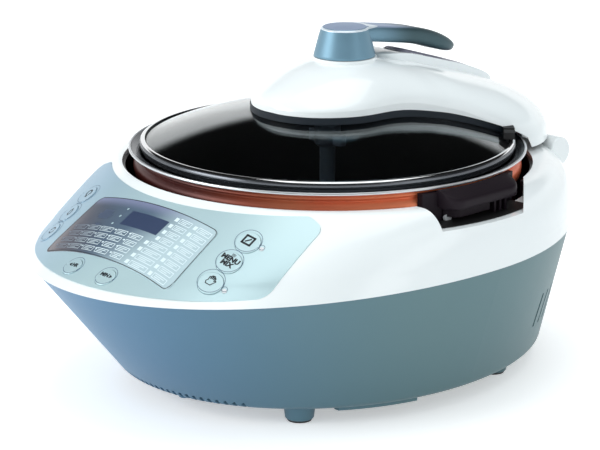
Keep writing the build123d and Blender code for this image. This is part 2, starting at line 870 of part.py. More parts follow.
inlet_y = bowl_y + inlet_face
inlet_z = rim_height + inlet_level
with BuildPart() as mains_inlet:
    with Locations((0, inlet_y + 1.0, inlet_z)):
        Box(inlet_width, 2.0, inlet_height)
    with Locations((0, inlet_y - 10, inlet_z)):
        Box(inlet_width - 4, 20, inlet_height - 4)
    with Locations((0, inlet_y - 6, inlet_z)):
        Box(inlet_width - 9, 16.1, inlet_height - 9, mode=Mode.SUBTRACT)
    for pin_x, pin_z in ((-7, -2), (0, 3), (7, -2)):
        with Locations((pin_x, inlet_y - 8, inlet_z + pin_z)):
            Box(2, 14, 4)
save(mains_inlet, "mains_inlet")

# Hinge: pin, middle bracket and end caps, all on the housing
with BuildPart() as hinge_pin:
    add(hinge_cylinder(pin_radius, pin_length).part)
save(hinge_pin, "hinge_pin")

with BuildPart() as hinge_bracket:
    add(hinge_cylinder(cradle_radius, lug_width).part)
    add(hinge_cylinder(pin_radius + running_gap, lug_width + 2).part, mode=Mode.SUBTRACT)
save(hinge_bracket, "hinge_bracket")

cap_start = swing_half_width - 1.5
with BuildPart() as hinge_caps:
    for side in (-1, 1):
        with BuildPart() as cap:
            with BuildSketch(Plane(origin=(cap_start, hinge_y, hinge_z), x_dir=(0, 1, 0), z_dir=(1, 0, 0))):
                Circle(cradle_radius)
            extrude(amount=cap_end - cap_start)
            fillet(cap.edges().filter_by(GeomType.CIRCLE).sort_by(Axis.X)[-1:], 1.5)
            with BuildSketch(Plane(origin=(cap_start, hinge_y, hinge_z), x_dir=(0, 1, 0), z_dir=(1, 0, 0))):
                Circle(pin_radius)
            extrude(amount=pin_length / 2 - cap_start, mode=Mode.SUBTRACT)
        if side > 0:
            add(cap.part)
        else:
            add(mirror(cap.part, about=Plane.YZ, mode=Mode.PRIVATE))
save(hinge_caps, "hinge_caps")

# Glass dome with its rim
glass_top = glass_foot + glass_rise
dome_radius = (glass_edge_radius**2 + glass_rise**2) / (2 * glass_rise)
dome_centre = glass_top - dome_radius
heater_y = bowl_y + heater_back


def dome(radius, grow=0.0):
    """Level of the dome's upper surface at a radius, raised by a growth of its sphere."""
    return dome_centre + math.sqrt((dome_radius + grow) ** 2 - radius**2)


with BuildPart() as glass_lid:
    with BuildSketch(turning_plane):
        with BuildLine():
            ThreePointArc((0, glass_top), (70, dome(70)), (glass_edge_radius, glass_foot))
            Polyline((glass_edge_radius, glass_foot), (glass_edge_radius, 1.5), (131, 1.5),
                     (130, dome(130, -glass_wall)))
            ThreePointArc((130, dome(130, -glass_wall)), (65, dome(65, -glass_wall)), (0, glass_top - glass_wall))
            Line((0, glass_top - glass_wall), (0, glass_top))
        make_face()
    revolve(axis=bowl_axis)
    with BuildSketch(bowl_plane(0)):
        with Locations((0, heater_back)):
            Circle(heater_hole_radius)
    extrude(amount=60, mode=Mode.SUBTRACT)
save(glass_lid, "glass_lid")

rim_points = (
    (132.4, 0.4),
    (132.9, -1.45),
    (135.6, -1.45),
    (136.1, 0.4),
    (rim_outer_radius, 1.0),
    (rim_outer_radius, 4.4),
    (136.1, 5.2),
    (132.4, 6.3),
    (132.4, 5.0),
    (134.6, 4.1),
    (134.6, 1.4),
    (132.4, 1.4),
)
save(turned(rim_points), "glass_rim")

# Lid cover: cross-sections from its front tip to the hinge
# Each one: distance back, half width, top level, shoulder level
cover_stations = (
    (-55.5, 6.0, 36.0, 34.5),
    (-53.0, 18.0, 40.5, 35.0),
    (-46.0, 31.5, 45.0, 35.5),
    (-32.0, 45.0, 51.0, 36.0),
    (-12.0, 53.5, 58.5, 36.5),
    (8.0, 55.0, 62.5, 36.5),
    (30.0, 58.5, 61.5, 35.0),
    (55.0, 66.5, 57.0, 29.0),
    (80.0, 79.0, 51.0, 19.0),
    (105.0, 90.0, 44.0, 7.0),
    (130.0, 90.5, 36.5, 1.0),
    (150.0, 81.0, 29.5, -3.0),
    (165.0, 69.0, 22.5, -7.0),
    (176.0, 53.0, 12.0, -11.0),
    (183.0, 30.0, -4.0, -14.0),
)
cover_floor = -15.5


def cover_form(inset, floor):
    """The cover's solid form, drawn in by a wall."""
    last = len(cover_stations) - 1
    with BuildPart() as form:
        sections = []
        for index, (back, half, top, level) in enumerate(cover_stations):
            along = index / last
            power = 1.7 + 1.3 * along
            fullness = 0.8 - 0.35 * along
            side = half - inset
            crown = top - inset
            edge = min(level, crown - 1.5)
            shift = inset if index == 0 else (-inset if index == last else 0)
            points = []
            for turn in (0, 12, 26, 42, 60, 75, 90, 105, 120, 138, 154, 168, 180):
                across = math.cos(math.radians(turn))
                lift = (1 - abs(across) ** power) ** fullness if abs(across) < 1 else 0.0
                points.append((side * across, edge + (crown - edge) * lift))
            plane = Plane(origin=(0, bowl_y + back + shift, rim_height), x_dir=(1, 0, 0), z_dir=(0, -1, 0))
            with BuildSketch(plane) as section:
                with BuildLine():
                    Spline(*points)
                    Polyline((-side, edge), (-side, floor), (side, floor), (side, edge))
                make_face()
            sections.append(section.sketch)
        loft(sections=sections)
    return form


cover_outer = cover_form(0, cover_floor)
cover_inner = cover_form(cover_wall, cover_floor - 8)
lid_room_points = (
    (0, dome(0) + gasket_thickness + part_gap),
    (45, dome(45) + gasket_thickness + part_gap),
    (90, dome(90) + gasket_thickness + part_gap),
    (126, dome(126) + gasket_thickness + part_gap),
    (138.5, 7.0),
    (147.5, 1.5),
    (152.0, -8.0),
    (152.0, -40.0),
    (0, -40.0),
)
with BuildPart() as lid_room:
    with BuildSketch(turning_plane):
        with BuildLine():
            ThreePointArc(lid_room_points[0], lid_room_points[2], lid_room_points[3])
            Polyline(*lid_room_points[3:])
            Line(lid_room_points[-1], lid_room_points[0])
        make_face()
    revolve(axis=bowl_axis)

boss_top = hub_level + 2.2
lid_pivot_y = bowl_y + hub_back
spindle_radius = 6.0
arm_half = swing_half_width - 2.5
with BuildPart() as cover_shape:
    add(cover_outer.part)
    add(cover_inner.part, mode=Mode.SUBTRACT)
    # Boss that the lever's hub turns on
    with BuildSketch(bowl_plane(hub_level - 4)):
        with Locations((0, hub_back)):
            Circle(hub_radius + 1.0)
    extrude(amount=boss_top - hub_level + 4)
    add(lid_room.part, mode=Mode.SUBTRACT)
    with BuildSketch(bowl_plane(0)):
        with Locations((0, hub_back)):
            Circle(spindle_radius + running_gap)
    extrude(amount=100, mode=Mode.SUBTRACT)
    # Lower corners, clear of the housing and of the hinge's caps
    for side in (-1, 1):
        with Locations((side * (arm_half + 50), hinge_y, hinge_z + 5)):
            Box(100, 100, 14.5, mode=Mode.SUBTRACT)
    with Locations((0, bowl_y + 105, hinge_z + 5)):
        Box(240, 100, 14.5, mode=Mode.SUBTRACT)

# Ridge that runs back from the hub to the hinge, with its inlay
ridge_half = 18.0
inlay_half = 12.0
ridge_start = 45.0
ridge_end = 168.0
inlay_start = 66.0
inlay_end = 155.0
inlay_wall = 1.4
ridge_stations = ((45.0, 60.5), (60.0, 61.0), (80.0, 56.5), (105.0, 49.5), (130.0, 42.0), (150.0, 34.0), (168.0, 21.0))


def ridge_form(half, rise, start, end):
    """Rounded strip along the top of the cover."""
    with BuildPart() as strip:
        with BuildSketch(Plane(origin=(-half, 0, 0), x_dir=(0, 1, 0), z_dir=(1, 0, 0))):
            with BuildLine():
                Spline(*[(bowl_y + back, rim_height + top + rise) for back, top in ridge_stations])
                Polyline((bowl_y + ridge_end, rim_height + 21.0 + rise), (bowl_y + ridge_end, rim_height + 5),
                         (bowl_y + ridge_start, rim_height + 5), (bowl_y + ridge_start, rim_height + 60.5 + rise))
            make_face()
        extrude(amount=2 * half)
        with BuildSketch(Plane.XY.offset(rim_height)):
            with Locations((0, bowl_y + (start + end) / 2)):
                SlotOverall(end - start, 2 * half, rotation=90)
        extrude(amount=100, mode=Mode.INTERSECT)
    return strip


with BuildPart() as ridge:
    add(ridge_form(ridge_half, 0, ridge_start, ridge_end).part)
    add(cover_inner.part, mode=Mode.SUBTRACT)
with BuildPart() as inlay_seat:
    add(ridge_form(inlay_half + seat_gap, 2, inlay_start - seat_gap, inlay_end + seat_gap).part)
    add(ridge_form(ridge_half, -inlay_wall, ridge_start, ridge_end).part, mode=Mode.SUBTRACT)
with BuildPart() as lid_cover:
    add(cover_shape.part)
    add(ridge.part)
    add(inlay_seat.part, mode=Mode.SUBTRACT)
save(lid_cover, "lid_cover")

with BuildPart() as ridge_inlay:
    add(ridge_form(inlay_half, 0.1, inlay_start, inlay_end).part)
    add(ridge_form(ridge_half, -inlay_wall, ridge_start, ridge_end).part, mode=Mode.SUBTRACT)
save(ridge_inlay, "ridge_inlay")

# Dark plate between the cover and the glass
base_end = 98.0
base_outline = [(half + 0.4, back - 0.4) for back, half, top, level in cover_stations[1:8]]
with BuildPart() as cover_base:
    with BuildSketch(bowl_plane(0)):
        with BuildLine():
            Spline((0, -56.4), *base_outline, (87.0, base_end))
            Spline((0, -56.4), *[(-x, y) for x, y in base_outline], (-87.0, base_end))
            Line((87.0, base_end), (-87.0, base_end))
        make_face()
    extrude(amount=60)
    with BuildSketch(turning_plane):
        with BuildLine():
            ThreePointArc((0, dome(0) + gasket_thickness), (70, dome(70) + gasket_thickness),
                          (133, dome(133) + gasket_thickness))
            Polyline((133, dome(133) + gasket_thickness), (133, dome(133) + part_gap))
            ThreePointArc((133, dome(133) + part_gap), (70, dome(70) + part_gap), (0, dome(0) + part_gap))
            Line((0, dome(0) + part_gap), (0, dome(0) + gasket_thickness))
        make_face()
    revolve(axis=bowl_axis, mode=Mode.INTERSECT)
    with BuildSketch(bowl_plane(0)):
        with Locations((0, heater_back)):
            Circle(heater_hole_radius + 0.5)
    extrude(amount=60, mode=Mode.SUBTRACT)
save(cover_base, "cover_base")

# Clips that hold the rim to the cover at both rear corners
clip_level = 7.1
clip_reach = 131.5
with BuildPart() as lid_clips:
    for turn in (41, 47, 133, 139):
        clip = Box(8, 10, 5, mode=Mode.PRIVATE)
        add(Pos(0, bowl_y, rim_height + clip_level + 2.5) * Rot(0, 0, turn) * Pos(clip_reach, 0, 0) * clip)
    add(cover_outer.part, mode=Mode.SUBTRACT)
    add(cover_base.part, mode=Mode.SUBTRACT)
save(lid_clips, "lid_clips")

# Hinge arm: two barrels on the pin, joined to the cover by webs and a bar
web_front = hinge_y - 10.0
web_rear = hinge_y + 9.0
arm_inner = lug_width / 2 + 2.0
with BuildPart() as arm_webs:
    for side in (-1, 1):
        for middle in (arm_inner + 3, barrel_end - 3):
            with Locations((side * middle, (web_front + web_rear) / 2, hinge_z + 22)):
                Box(6, web_rear - web_front, 50)
    with Locations((0, (web_front + web_rear) / 2, hinge_z + 22)):
        Box(2 * barrel_end, web_rear - web_front, 5)
    add(cover_inner.part, mode=Mode.INTERSECT)
with BuildPart() as hinge_arm:
    add(arm_webs.part)
    for side in (-1, 1):
        with BuildSketch(Plane(origin=(side * arm_inner, hinge_y, hinge_z), x_dir=(0, 1, 0), z_dir=(1, 0, 0))):
            Circle(barrel_radius)
        extrude(amount=side * (barrel_end - arm_inner))
    add(hinge_cylinder(pin_radius + running_gap, 2 * barrel_end + 4).part, mode=Mode.SUBTRACT)
save(hinge_arm, "hinge_arm")

# Upper heater behind its guard, in the dome's opening
heater_plane = Plane(origin=(0, heater_y, rim_height), x_dir=(1, 0, 0), z_dir=(0, -1, 0))
heater_line = Axis((0, heater_y, 0), (0, 0, 1))
upper_heater_radius = 25.0
upper_heater_level = 40.0
with BuildPart() as upper_heater:
    with BuildSketch(heater_plane):
        with Locations((upper_heater_radius, upper_heater_level)):
            Circle(3.0)
    revolve(axis=heater_line)
save(upper_heater, "upper_heater")

with BuildPart() as upper_reflector:
    with BuildSketch(heater_plane):
        with BuildLine():
            Polyline((0, 44.0), (31.0, 44.0), (34.5, 36.6), (36.6, 36.6), (36.6, 37.8), (35.4, 37.8),
                     (31.9, 45.2), (0, 45.2), (0, 44.0))
        make_face()
    revolve(axis=heater_line)
save(upper_reflector, "upper_reflector")

guard_level = 35.0
with BuildPart() as heater_guard:
    with BuildSketch(bowl_plane(guard_level)):
        with Locations((0, heater_back)):
            Circle(heater_hole_radius)
            with PolarLocations(27, 12):
                SlotOverall(14, 4, mode=Mode.SUBTRACT)
            with PolarLocations(13, 6):
                SlotOverall(8, 4, mode=Mode.SUBTRACT)
    extrude(amount=1.5)
save(heater_guard, "heater_guard")

# Cam under the cover, on the lever's spindle
cam_level = 47.0
lever_floor = boss_top + 0.4
with BuildPart() as lock_cam:
    with BuildSketch(bowl_plane(cam_level)):
        with Locations((0, hub_back)):
            Circle(12)
        with Locations((0, hub_back + 9)):
            RectangleRounded(12, 22, 3)
    extrude(amount=4)
    with BuildSketch(bowl_plane(cam_level + 4)):
        with Locations((0, hub_back)):
            Circle(spindle_radius)
    extrude(amount=lever_floor + 3 - cam_level - 4)
save(lock_cam, "lock_cam")

# Lever: a turned hub with a curved arm that reaches back over the ridge
lever_stations = (
    (16.0, 78.0, 11.0, 15.5),
    (36.0, 77.5, 11.5, 14.8),
    (57.0, 74.2, 12.0, 13.8),
    (81.0, 70.0, 12.5, 13.0),
    (100.0, 64.8, 12.5, 12.4),
    (116.0, 58.8, 10.5, 11.0),
    (126.0, 55.0, 6.0, 7.0),
)
hub_points = ((0, lever_floor), (hub_radius, lever_floor), (hub_radius, lever_floor + 1.5), (19.0, 77.0),
              (17.2, 83.0), (15.6, 84.2), (0, 84.8), (0, lever_floor))
lever_bend = 0.28
with BuildPart() as lever_arm:
    sections = []
    for back, level, thickness, half in lever_stations:
        lean = math.radians(-2 - (back - 16) * lever_bend)
        plane = Plane(
            origin=(0, bowl_y + back, rim_height + level),
            x_dir=(1, 0, 0),
            z_dir=(0, math.cos(lean), math.sin(lean)),
        )
        with BuildSketch(plane) as section:
            RectangleRounded(2 * half, thickness, thickness * 0.42)
        sections.append(section.sketch)
    loft(sections=sections)
with BuildPart() as lid_lever:
    with BuildSketch(Plane(origin=(0, lid_pivot_y, rim_height), x_dir=(1, 0, 0), z_dir=(0, -1, 0))):
        with BuildLine():
            Polyline(*hub_points)
        make_face()
    revolve(axis=Axis((0, lid_pivot_y, 0), (0, 0, 1)))
    add(lever_arm.part)
    with BuildSketch(bowl_plane(lever_floor)):
        with Locations((0, hub_back)):
            Circle(spindle_radius)
    extrude(amount=3, mode=Mode.SUBTRACT)
save(lid_lever, "lid_lever")
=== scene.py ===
import math

import bmesh
import bpy
from mathutils import Matrix, Vector
from mathutils.bvhtree import BVHTree


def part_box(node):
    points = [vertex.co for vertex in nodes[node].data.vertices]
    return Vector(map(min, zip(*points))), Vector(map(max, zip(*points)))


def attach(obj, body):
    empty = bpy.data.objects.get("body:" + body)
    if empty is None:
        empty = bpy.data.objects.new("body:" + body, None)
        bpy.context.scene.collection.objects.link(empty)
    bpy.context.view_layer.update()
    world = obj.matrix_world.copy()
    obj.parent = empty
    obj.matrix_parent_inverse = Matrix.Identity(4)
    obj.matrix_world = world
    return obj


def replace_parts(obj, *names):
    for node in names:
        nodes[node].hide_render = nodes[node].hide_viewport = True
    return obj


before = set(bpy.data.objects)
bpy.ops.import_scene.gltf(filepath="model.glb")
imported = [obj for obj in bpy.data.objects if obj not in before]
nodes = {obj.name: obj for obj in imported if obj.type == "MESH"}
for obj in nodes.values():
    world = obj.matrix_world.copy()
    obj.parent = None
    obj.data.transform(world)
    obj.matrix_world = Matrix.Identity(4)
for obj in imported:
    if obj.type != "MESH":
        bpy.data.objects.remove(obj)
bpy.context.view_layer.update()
bowlMiddle = Vector((0.0, 0.0275, 0.163))
print("frame loaded", len(nodes))


# Camera, fitted to the photo
camera = {
    "spot": (1.20144, -1.16142, 0.57606),
    "right": (0.694692, 0.719305, 0.001590),
    "up": (-0.195552, 0.186732, 0.962752),
    "forward": (-0.692215, 0.669127, -0.270383),
    "lens": 143.6,
    "sensor": 36.0,
    "near": 0.05,
    "far": 30.0,
}


def buildCamera(spec):
    data = bpy.data.cameras.new("photoCamera")
    data.lens = spec["lens"]
    data.sensor_width = spec["sensor"]
    data.clip_start = spec["near"]
    data.clip_end = spec["far"]
    view = bpy.data.objects.new("photoCamera", data)
    right = Vector(spec["right"])
    up = Vector(spec["up"])
    back = -Vector(spec["forward"])
    turn = Matrix((right, up, back)).transposed().to_4x4()
    view.matrix_world = Matrix.Translation(spec["spot"]) @ turn
    bpy.context.scene.collection.objects.link(view)
    bpy.context.scene.camera = view


buildCamera(camera)


# Node helpers
def newNode(tree, kind, **settings):
    node = tree.nodes.new(kind)
    for name, value in settings.items():
        setattr(node, name, value)
    return node


# Sets inputs by name; a name's underscores stand for spaces
def setInputs(node, **values):
    for name, value in values.items():
        node.inputs[name.replace("_", " ")].default_value = value


def joinNodes(tree, source, target):
    tree.links.new(source, target)


# A socket is joined to the target, and a plain value is set on it
def feed(tree, value, target):
    if isinstance(value, bpy.types.NodeSocket):
        joinNodes(tree, value, target)
    else:
        target.default_value = value


def opaque(colour):
    return (colour[0], colour[1], colour[2], 1.0)


def maths(tree, operation, *terms):
    node = newNode(tree, "ShaderNodeMath", operation=operation)
    for value, target in zip(terms, node.inputs):
        feed(tree, value, target)
    return node.outputs[0]


# Each of first, second and factor is a socket, a number or, as a tuple, a colour
def mixValues(tree, first, second, factor, kind="RGBA", blend="MIX"):
    mix = newNode(tree, "ShaderNodeMix", data_type=kind, blend_type=blend)
    for name, value in (("A", first), ("B", second), ("Factor", factor)):
        feed(tree, opaque(value) if isinstance(value, tuple) else value, mix.inputs[name])
    return mix.outputs["Result"]


def groupFrame(name, inputs, outputs):
    tree = bpy.data.node_groups.new(name, "ShaderNodeTree")
    for label, kind, value in inputs:
        socket = tree.interface.new_socket(name=label, in_out="INPUT", socket_type=kind)
        socket.default_value = value
    for label, kind in outputs:
        tree.interface.new_socket(name=label, in_out="OUTPUT", socket_type=kind)
    entry = tree.nodes.new("NodeGroupInput")
    leave = tree.nodes.new("NodeGroupOutput")
    return tree, entry, leave


# Fine moulded texture: a bumped normal from two noises in object space
grainNoise = {"detail": 3.0, "wideScale": 60.0, "wideShare": 0.35}


def buildGrainGroup(spec):
    inputs = [
        ("Scale", "NodeSocketFloat", 900.0),
        ("Strength", "NodeSocketFloat", 0.1),
        ("Distance", "NodeSocketFloat", 0.0002),
    ]
    tree, entry, leave = groupFrame("fineGrain", inputs, [("Normal", "NodeSocketVector")])
    place = newNode(tree, "ShaderNodeTexCoord")
    fine = newNode(tree, "ShaderNodeTexNoise")
    wide = newNode(tree, "ShaderNodeTexNoise")
    bump = newNode(tree, "ShaderNodeBump")
    setInputs(fine, Detail=spec["detail"])
    setInputs(wide, Scale=spec["wideScale"])
    for noise in (fine, wide):
        joinNodes(tree, place.outputs["Object"], noise.inputs["Vector"])
    joinNodes(tree, entry.outputs["Scale"], fine.inputs["Scale"])
    height = maths(tree, "MULTIPLY_ADD", wide.outputs["Fac"], spec["wideShare"], fine.outputs["Fac"])
    joinNodes(tree, height, bump.inputs["Height"])
    for name in ("Strength", "Distance"):
        joinNodes(tree, entry.outputs[name], bump.inputs[name])
    joinNodes(tree, bump.outputs["Normal"], leave.inputs["Normal"])
    return tree


# Slow change of tone over a surface, between two colours
driftNoise = {"detail": 2.0, "low": 0.35, "high": 0.65}


def buildDriftGroup(spec):
    inputs = [
        ("First", "NodeSocketColor", (1, 1, 1, 1)),
        ("Second", "NodeSocketColor", (1, 1, 1, 1)),
        ("Scale", "NodeSocketFloat", 6.0),
    ]
    outputs = [("Color", "NodeSocketColor"), ("Value", "NodeSocketFloat")]
    tree, entry, leave = groupFrame("toneDrift", inputs, outputs)
    place = newNode(tree, "ShaderNodeTexCoord")
    noise = newNode(tree, "ShaderNodeTexNoise")
    ramp = newNode(tree, "ShaderNodeMapRange")
    setInputs(noise, Detail=spec["detail"])
    setInputs(ramp, From_Min=spec["low"], From_Max=spec["high"])
    joinNodes(tree, place.outputs["Object"], noise.inputs["Vector"])
    joinNodes(tree, entry.outputs["Scale"], noise.inputs["Scale"])
    joinNodes(tree, noise.outputs["Fac"], ramp.inputs["Value"])
    share = ramp.outputs["Result"]
    blend = mixValues(tree, entry.outputs["First"], entry.outputs["Second"], share)
    joinNodes(tree, blend, leave.inputs["Color"])
    joinNodes(tree, share, leave.inputs["Value"])
    return tree


# A mask that runs from 0 to 1 along a direction in the frame, between two distances in metres
def buildRunGroup():
    inputs = [
        ("Direction", "NodeSocketVector", (1, 0, 0)),
        ("Start", "NodeSocketFloat", 0.0),
        ("End", "NodeSocketFloat", 0.1),
    ]
    tree, entry, leave = groupFrame("runMask", inputs, [("Value", "NodeSocketFloat")])
    place = newNode(tree, "ShaderNodeTexCoord")
    dot = newNode(tree, "ShaderNodeVectorMath", operation="DOT_PRODUCT")
    ramp = newNode(tree, "ShaderNodeMapRange", interpolation_type="SMOOTHSTEP")
    joinNodes(tree, place.outputs["Object"], dot.inputs[0])
    joinNodes(tree, entry.outputs["Direction"], dot.inputs[1])
    joinNodes(tree, dot.outputs["Value"], ramp.inputs["Value"])
    joinNodes(tree, entry.outputs["Start"], ramp.inputs["From Min"])
    joinNodes(tree, entry.outputs["End"], ramp.inputs["From Max"])
    joinNodes(tree, ramp.outputs["Result"], leave.inputs["Value"])
    return tree


grainGroup = buildGrainGroup(grainNoise)
driftGroup = buildDriftGroup(driftNoise)
runGroup = buildRunGroup()


def useGroup(tree, group, **values):
    node = newNode(tree, "ShaderNodeGroup", node_tree=group)
    setInputs(node, **values)
    return node


def runAlong(tree, direction, start, end):
    return useGroup(tree, runGroup, Direction=direction, Start=start, End=end).outputs["Value"]


# Materials
def startMaterial(name):
    material = bpy.data.materials.new(name)
    material.use_nodes = True
    tree = material.node_tree
    return material, tree, tree.nodes["Principled BSDF"]


# The roughness follows a mask between two values
def varyGloss(tree, shader, mask, low, high):
    gloss = newNode(tree, "ShaderNodeMapRange")
    setInputs(gloss, To_Min=low, To_Max=high)
    joinNodes(tree, mask, gloss.inputs["Value"])
    joinNodes(tree, gloss.outputs["Result"], shader.inputs["Roughness"])


# A plastic, rubber, metal or ink: two close tones, fine grain, and a slightly uneven gloss
glossSpread = 0.12


def makeSurface(name, spec):
    material, tree, shader = startMaterial(name)
    drift = useGroup(tree, driftGroup, First=opaque(spec["first"]), Second=opaque(spec["second"]))
    grain = useGroup(tree, grainGroup, Strength=spec["grain"])
    gloss = spec["roughness"]
    joinNodes(tree, drift.outputs["Color"], shader.inputs["Base Color"])
    joinNodes(tree, grain.outputs["Normal"], shader.inputs["Normal"])
    varyGloss(tree, shader, drift.outputs["Value"], gloss * (1 - glossSpread), gloss * (1 + glossSpread))
    setInputs(shader, Metallic=spec.get("metallic", 0.0), **spec.get("shader", {}))
    return material


plainFinishes = {
    "whiteShell": {
        "first": (0.86, 0.90, 0.91),
        "second": (0.88, 0.92, 0.925),
        "roughness": 0.22,
        "grain": 0.02,
        "shader": {"Coat_Weight": 0.5, "Coat_Roughness": 0.06},
    },
    "plainGrey": {
        "first": (0.16, 0.18, 0.20),
        "second": (0.19, 0.21, 0.23),
        "roughness": 0.55,
        "grain": 0.35,
    },
    "padRubber": {
        "first": (0.03, 0.03, 0.032),
        "second": (0.045, 0.045, 0.048),
        "roughness": 0.75,
        "grain": 0.4,
    },
    "displayNavy": {
        "first": (0.03, 0.055, 0.11),
        "second": (0.04, 0.07, 0.13),
        "roughness": 0.12,
        "grain": 0.02,
    },
    "boardGreen": {
        "first": (0.01, 0.10, 0.04),
        "second": (0.015, 0.13, 0.055),
        "roughness": 0.4,
        "grain": 0.2,
    },
    "blackPlastic": {
        "first": (0.012, 0.012, 0.014),
        "second": (0.02, 0.02, 0.022),
        "roughness": 0.42,
        "grain": 0.25,
    },
    "brightMetal": {
        "first": (0.62, 0.63, 0.65),
        "second": (0.70, 0.71, 0.72),
        "roughness": 0.28,
        "metallic": 1.0,
        "grain": 0.12,
    },
    "mirrorSheet": {
        "first": (0.80, 0.80, 0.81),
        "second": (0.86, 0.86, 0.87),
        "roughness": 0.2,
        "metallic": 1.0,
        "grain": 0.08,
    },
    "motorMetal": {
        "first": (0.40, 0.40, 0.41),
        "second": (0.48, 0.48, 0.49),
        "roughness": 0.38,
        "metallic": 1.0,
        "grain": 0.2,
    },
    "handleAubergine": {
        "first": (0.010, 0.006, 0.010),
        "second": (0.015, 0.009, 0.014),
        "roughness": 0.5,
        "grain": 0.22,
        "shader": {"Specular_IOR_Level": 0.16},
    },
    "rimChrome": {
        "first": (0.84, 0.86, 0.88),
        "second": (0.90, 0.91, 0.92),
        "roughness": 0.07,
        "metallic": 1.0,
        "grain": 0.01,
    },
    "stirrerGrey": {
        "first": (0.10, 0.13, 0.17),
        "second": (0.13, 0.165, 0.21),
        "roughness": 0.4,
        "grain": 0.2,
    },
    "paleScrew": {
        "first": (0.70, 0.72, 0.74),
        "second": (0.80, 0.82, 0.84),
        "roughness": 0.3,
        "metallic": 0.3,
        "grain": 0.05,
    },
    # Steel and chrome in painted shade, for the lid rim's standing edge and underside and the flange's inner
    # lip in the groove under the rim
    "darkSteel": {
        "first": (0.10, 0.11, 0.125),
        "second": (0.15, 0.16, 0.175),
        "roughness": 0.25,
        "metallic": 0.9,
        "grain": 0.04,
    },
    "flangeSteel": {
        "first": (0.74, 0.77, 0.80),
        "second": (0.82, 0.85, 0.88),
        "roughness": 0.32,
        "metallic": 0.85,
        "grain": 0.03,
    },
    "potBlack": {
        "first": (0.006, 0.006, 0.008),
        "second": (0.010, 0.010, 0.012),
        "roughness": 0.35,
        "grain": 0.2,
    },
    # Black of the lid clips, which is their own colour, and of the sheet in each notch, which is partly
    # painted shade
    "blackClipsAndNotchShade": {
        "first": (0.004, 0.004, 0.005),
        "second": (0.007, 0.007, 0.008),
        "roughness": 0.6,
        "grain": 0.2,
    },
    "slateSeal": {
        "first": (0.008, 0.014, 0.021),
        "second": (0.014, 0.021, 0.030),
        "roughness": 0.5,
        "grain": 0.15,
        "shader": {"Specular_IOR_Level": 0.25},
    },
    "ridgeViolet": {
        "first": (0.28, 0.27, 0.34),
        "second": (0.34, 0.32, 0.40),
        "roughness": 0.3,
        "grain": 0.05,
    },
    "heaterSteel": {
        "first": (0.14, 0.12, 0.11),
        "second": (0.22, 0.20, 0.18),
        "roughness": 0.5,
        "metallic": 0.8,
        "grain": 0.3,
    },
}


# Fine flake in the gloss of a paint
flakeDepth = 0.0001


def addFlake(tree, shader, spec):
    size, strength = spec["grainScale"], spec["grain"]
    grain = useGroup(tree, grainGroup, Scale=size, Strength=strength, Distance=flakeDepth)
    joinNodes(tree, grain.outputs["Normal"], shader.inputs["Normal"])


# Paint in a tone that the slow drift tints
def paintOver(tree, shader, tone, spec):
    drift = useGroup(tree, driftGroup, Scale=spec["driftScale"], Second=opaque(spec["driftTone"]))
    tinted = mixValues(tree, tone, drift.outputs["Color"], 1.0, blend="MULTIPLY")
    joinNodes(tree, tinted, shader.inputs["Base Color"])
    addFlake(tree, shader, spec)
    setInputs(shader, Metallic=spec["metallic"], Roughness=spec["roughness"])


# Metallic satin paint, whose tone runs across the piece
def makeMetallic(name, spec):
    material, tree, shader = startMaterial(name)
    run = runAlong(tree, spec["direction"], spec["start"], spec["end"])
    paintOver(tree, shader, mixValues(tree, spec["near"], spec["far"], run), spec)
    return material


satinDrift = {"driftScale": 9.0, "driftTone": (0.93, 0.95, 0.97), "grainScale": 2600.0}
metallicFinishes = {
    "greyShell": {
        **satinDrift,
        "direction": (0.8, 0.6, 0.0),
        "start": -0.15,
        "end": 0.12,
        "near": (0.080, 0.205, 0.345),
        "far": (0.108, 0.195, 0.212),
        "metallic": 0.35,
        "roughness": 0.42,
        "grain": 0.16,
    },
    "silverFascia": {
        **satinDrift,
        "direction": (1.0, 0.0, 0.0),
        "start": -0.11,
        "end": 0.02,
        "near": (0.34, 0.49, 0.61),
        "far": (0.60, 0.79, 0.82),
        "metallic": 0.35,
        "roughness": 0.34,
        "grain": 0.10,
    },
}


# Copper-toned enamel of the bowl's outside. Painted shade and a painted dark reflection of the well darken
# it low down in the well, and painted shade darkens it at the front left
bowlFinish = {
    # The first two tones are painted: the dark low tone is painted shade with the well's painted dark
    # reflection, and the front tone is painted shade
    "low": (0.09, 0.013, 0.008),
    "frontShadeTone": (0.070, 0.008, 0.006),
    "crown": (0.90, 0.20, 0.090),
    "fullShadeLevel": bowlMiddle.z - 0.021,
    "crownLevel": bowlMiddle.z - 0.0105,
    "frontShadeWay": (0.7, 0.7, 0.0),
    "frontShadeStart": -0.085,
    "frontShadeEnd": 0.070,
    "driftScale": 14.0,
    "driftTone": (1.0, 1.35, 1.35),
    "grainScale": 1800.0,
    "grain": 0.06,
    "metallic": 0.35,
    "roughness": 0.4,
}


def makeCopper(spec):
    material, tree, shader = startMaterial("copperBowl")
    # Painted shade: the copper darkens down into the well and towards the front left
    height = runAlong(tree, (0, 0, 1), spec["fullShadeLevel"], spec["crownLevel"])
    front = runAlong(tree, spec["frontShadeWay"], spec["frontShadeStart"], spec["frontShadeEnd"])
    crown = mixValues(tree, spec["frontShadeTone"], spec["crown"], front)
    paintOver(tree, shader, mixValues(tree, spec["low"], crown, height), spec)
    return material


# The lid's glass, with a faint smear in the gloss
glassFinish = {
    "smearScale": 11.0,
    "glossLow": 0.01,
    "glossHigh": 0.035,
    "shader": {
        "Base_Color": (0.80, 0.86, 0.88, 1), "Specular_Tint": (0.80, 0.97, 1.0, 1),
        "Transmission_Weight": 1.0, "IOR": 1.5,
    },
}


def makeGlass(spec):
    material, tree, shader = startMaterial("clearGlass")
    smear = useGroup(tree, driftGroup, Scale=spec["smearScale"])
    varyGloss(tree, shader, smear.outputs["Value"], spec["glossLow"], spec["glossHigh"])
    setInputs(shader, **spec["shader"])
    return material
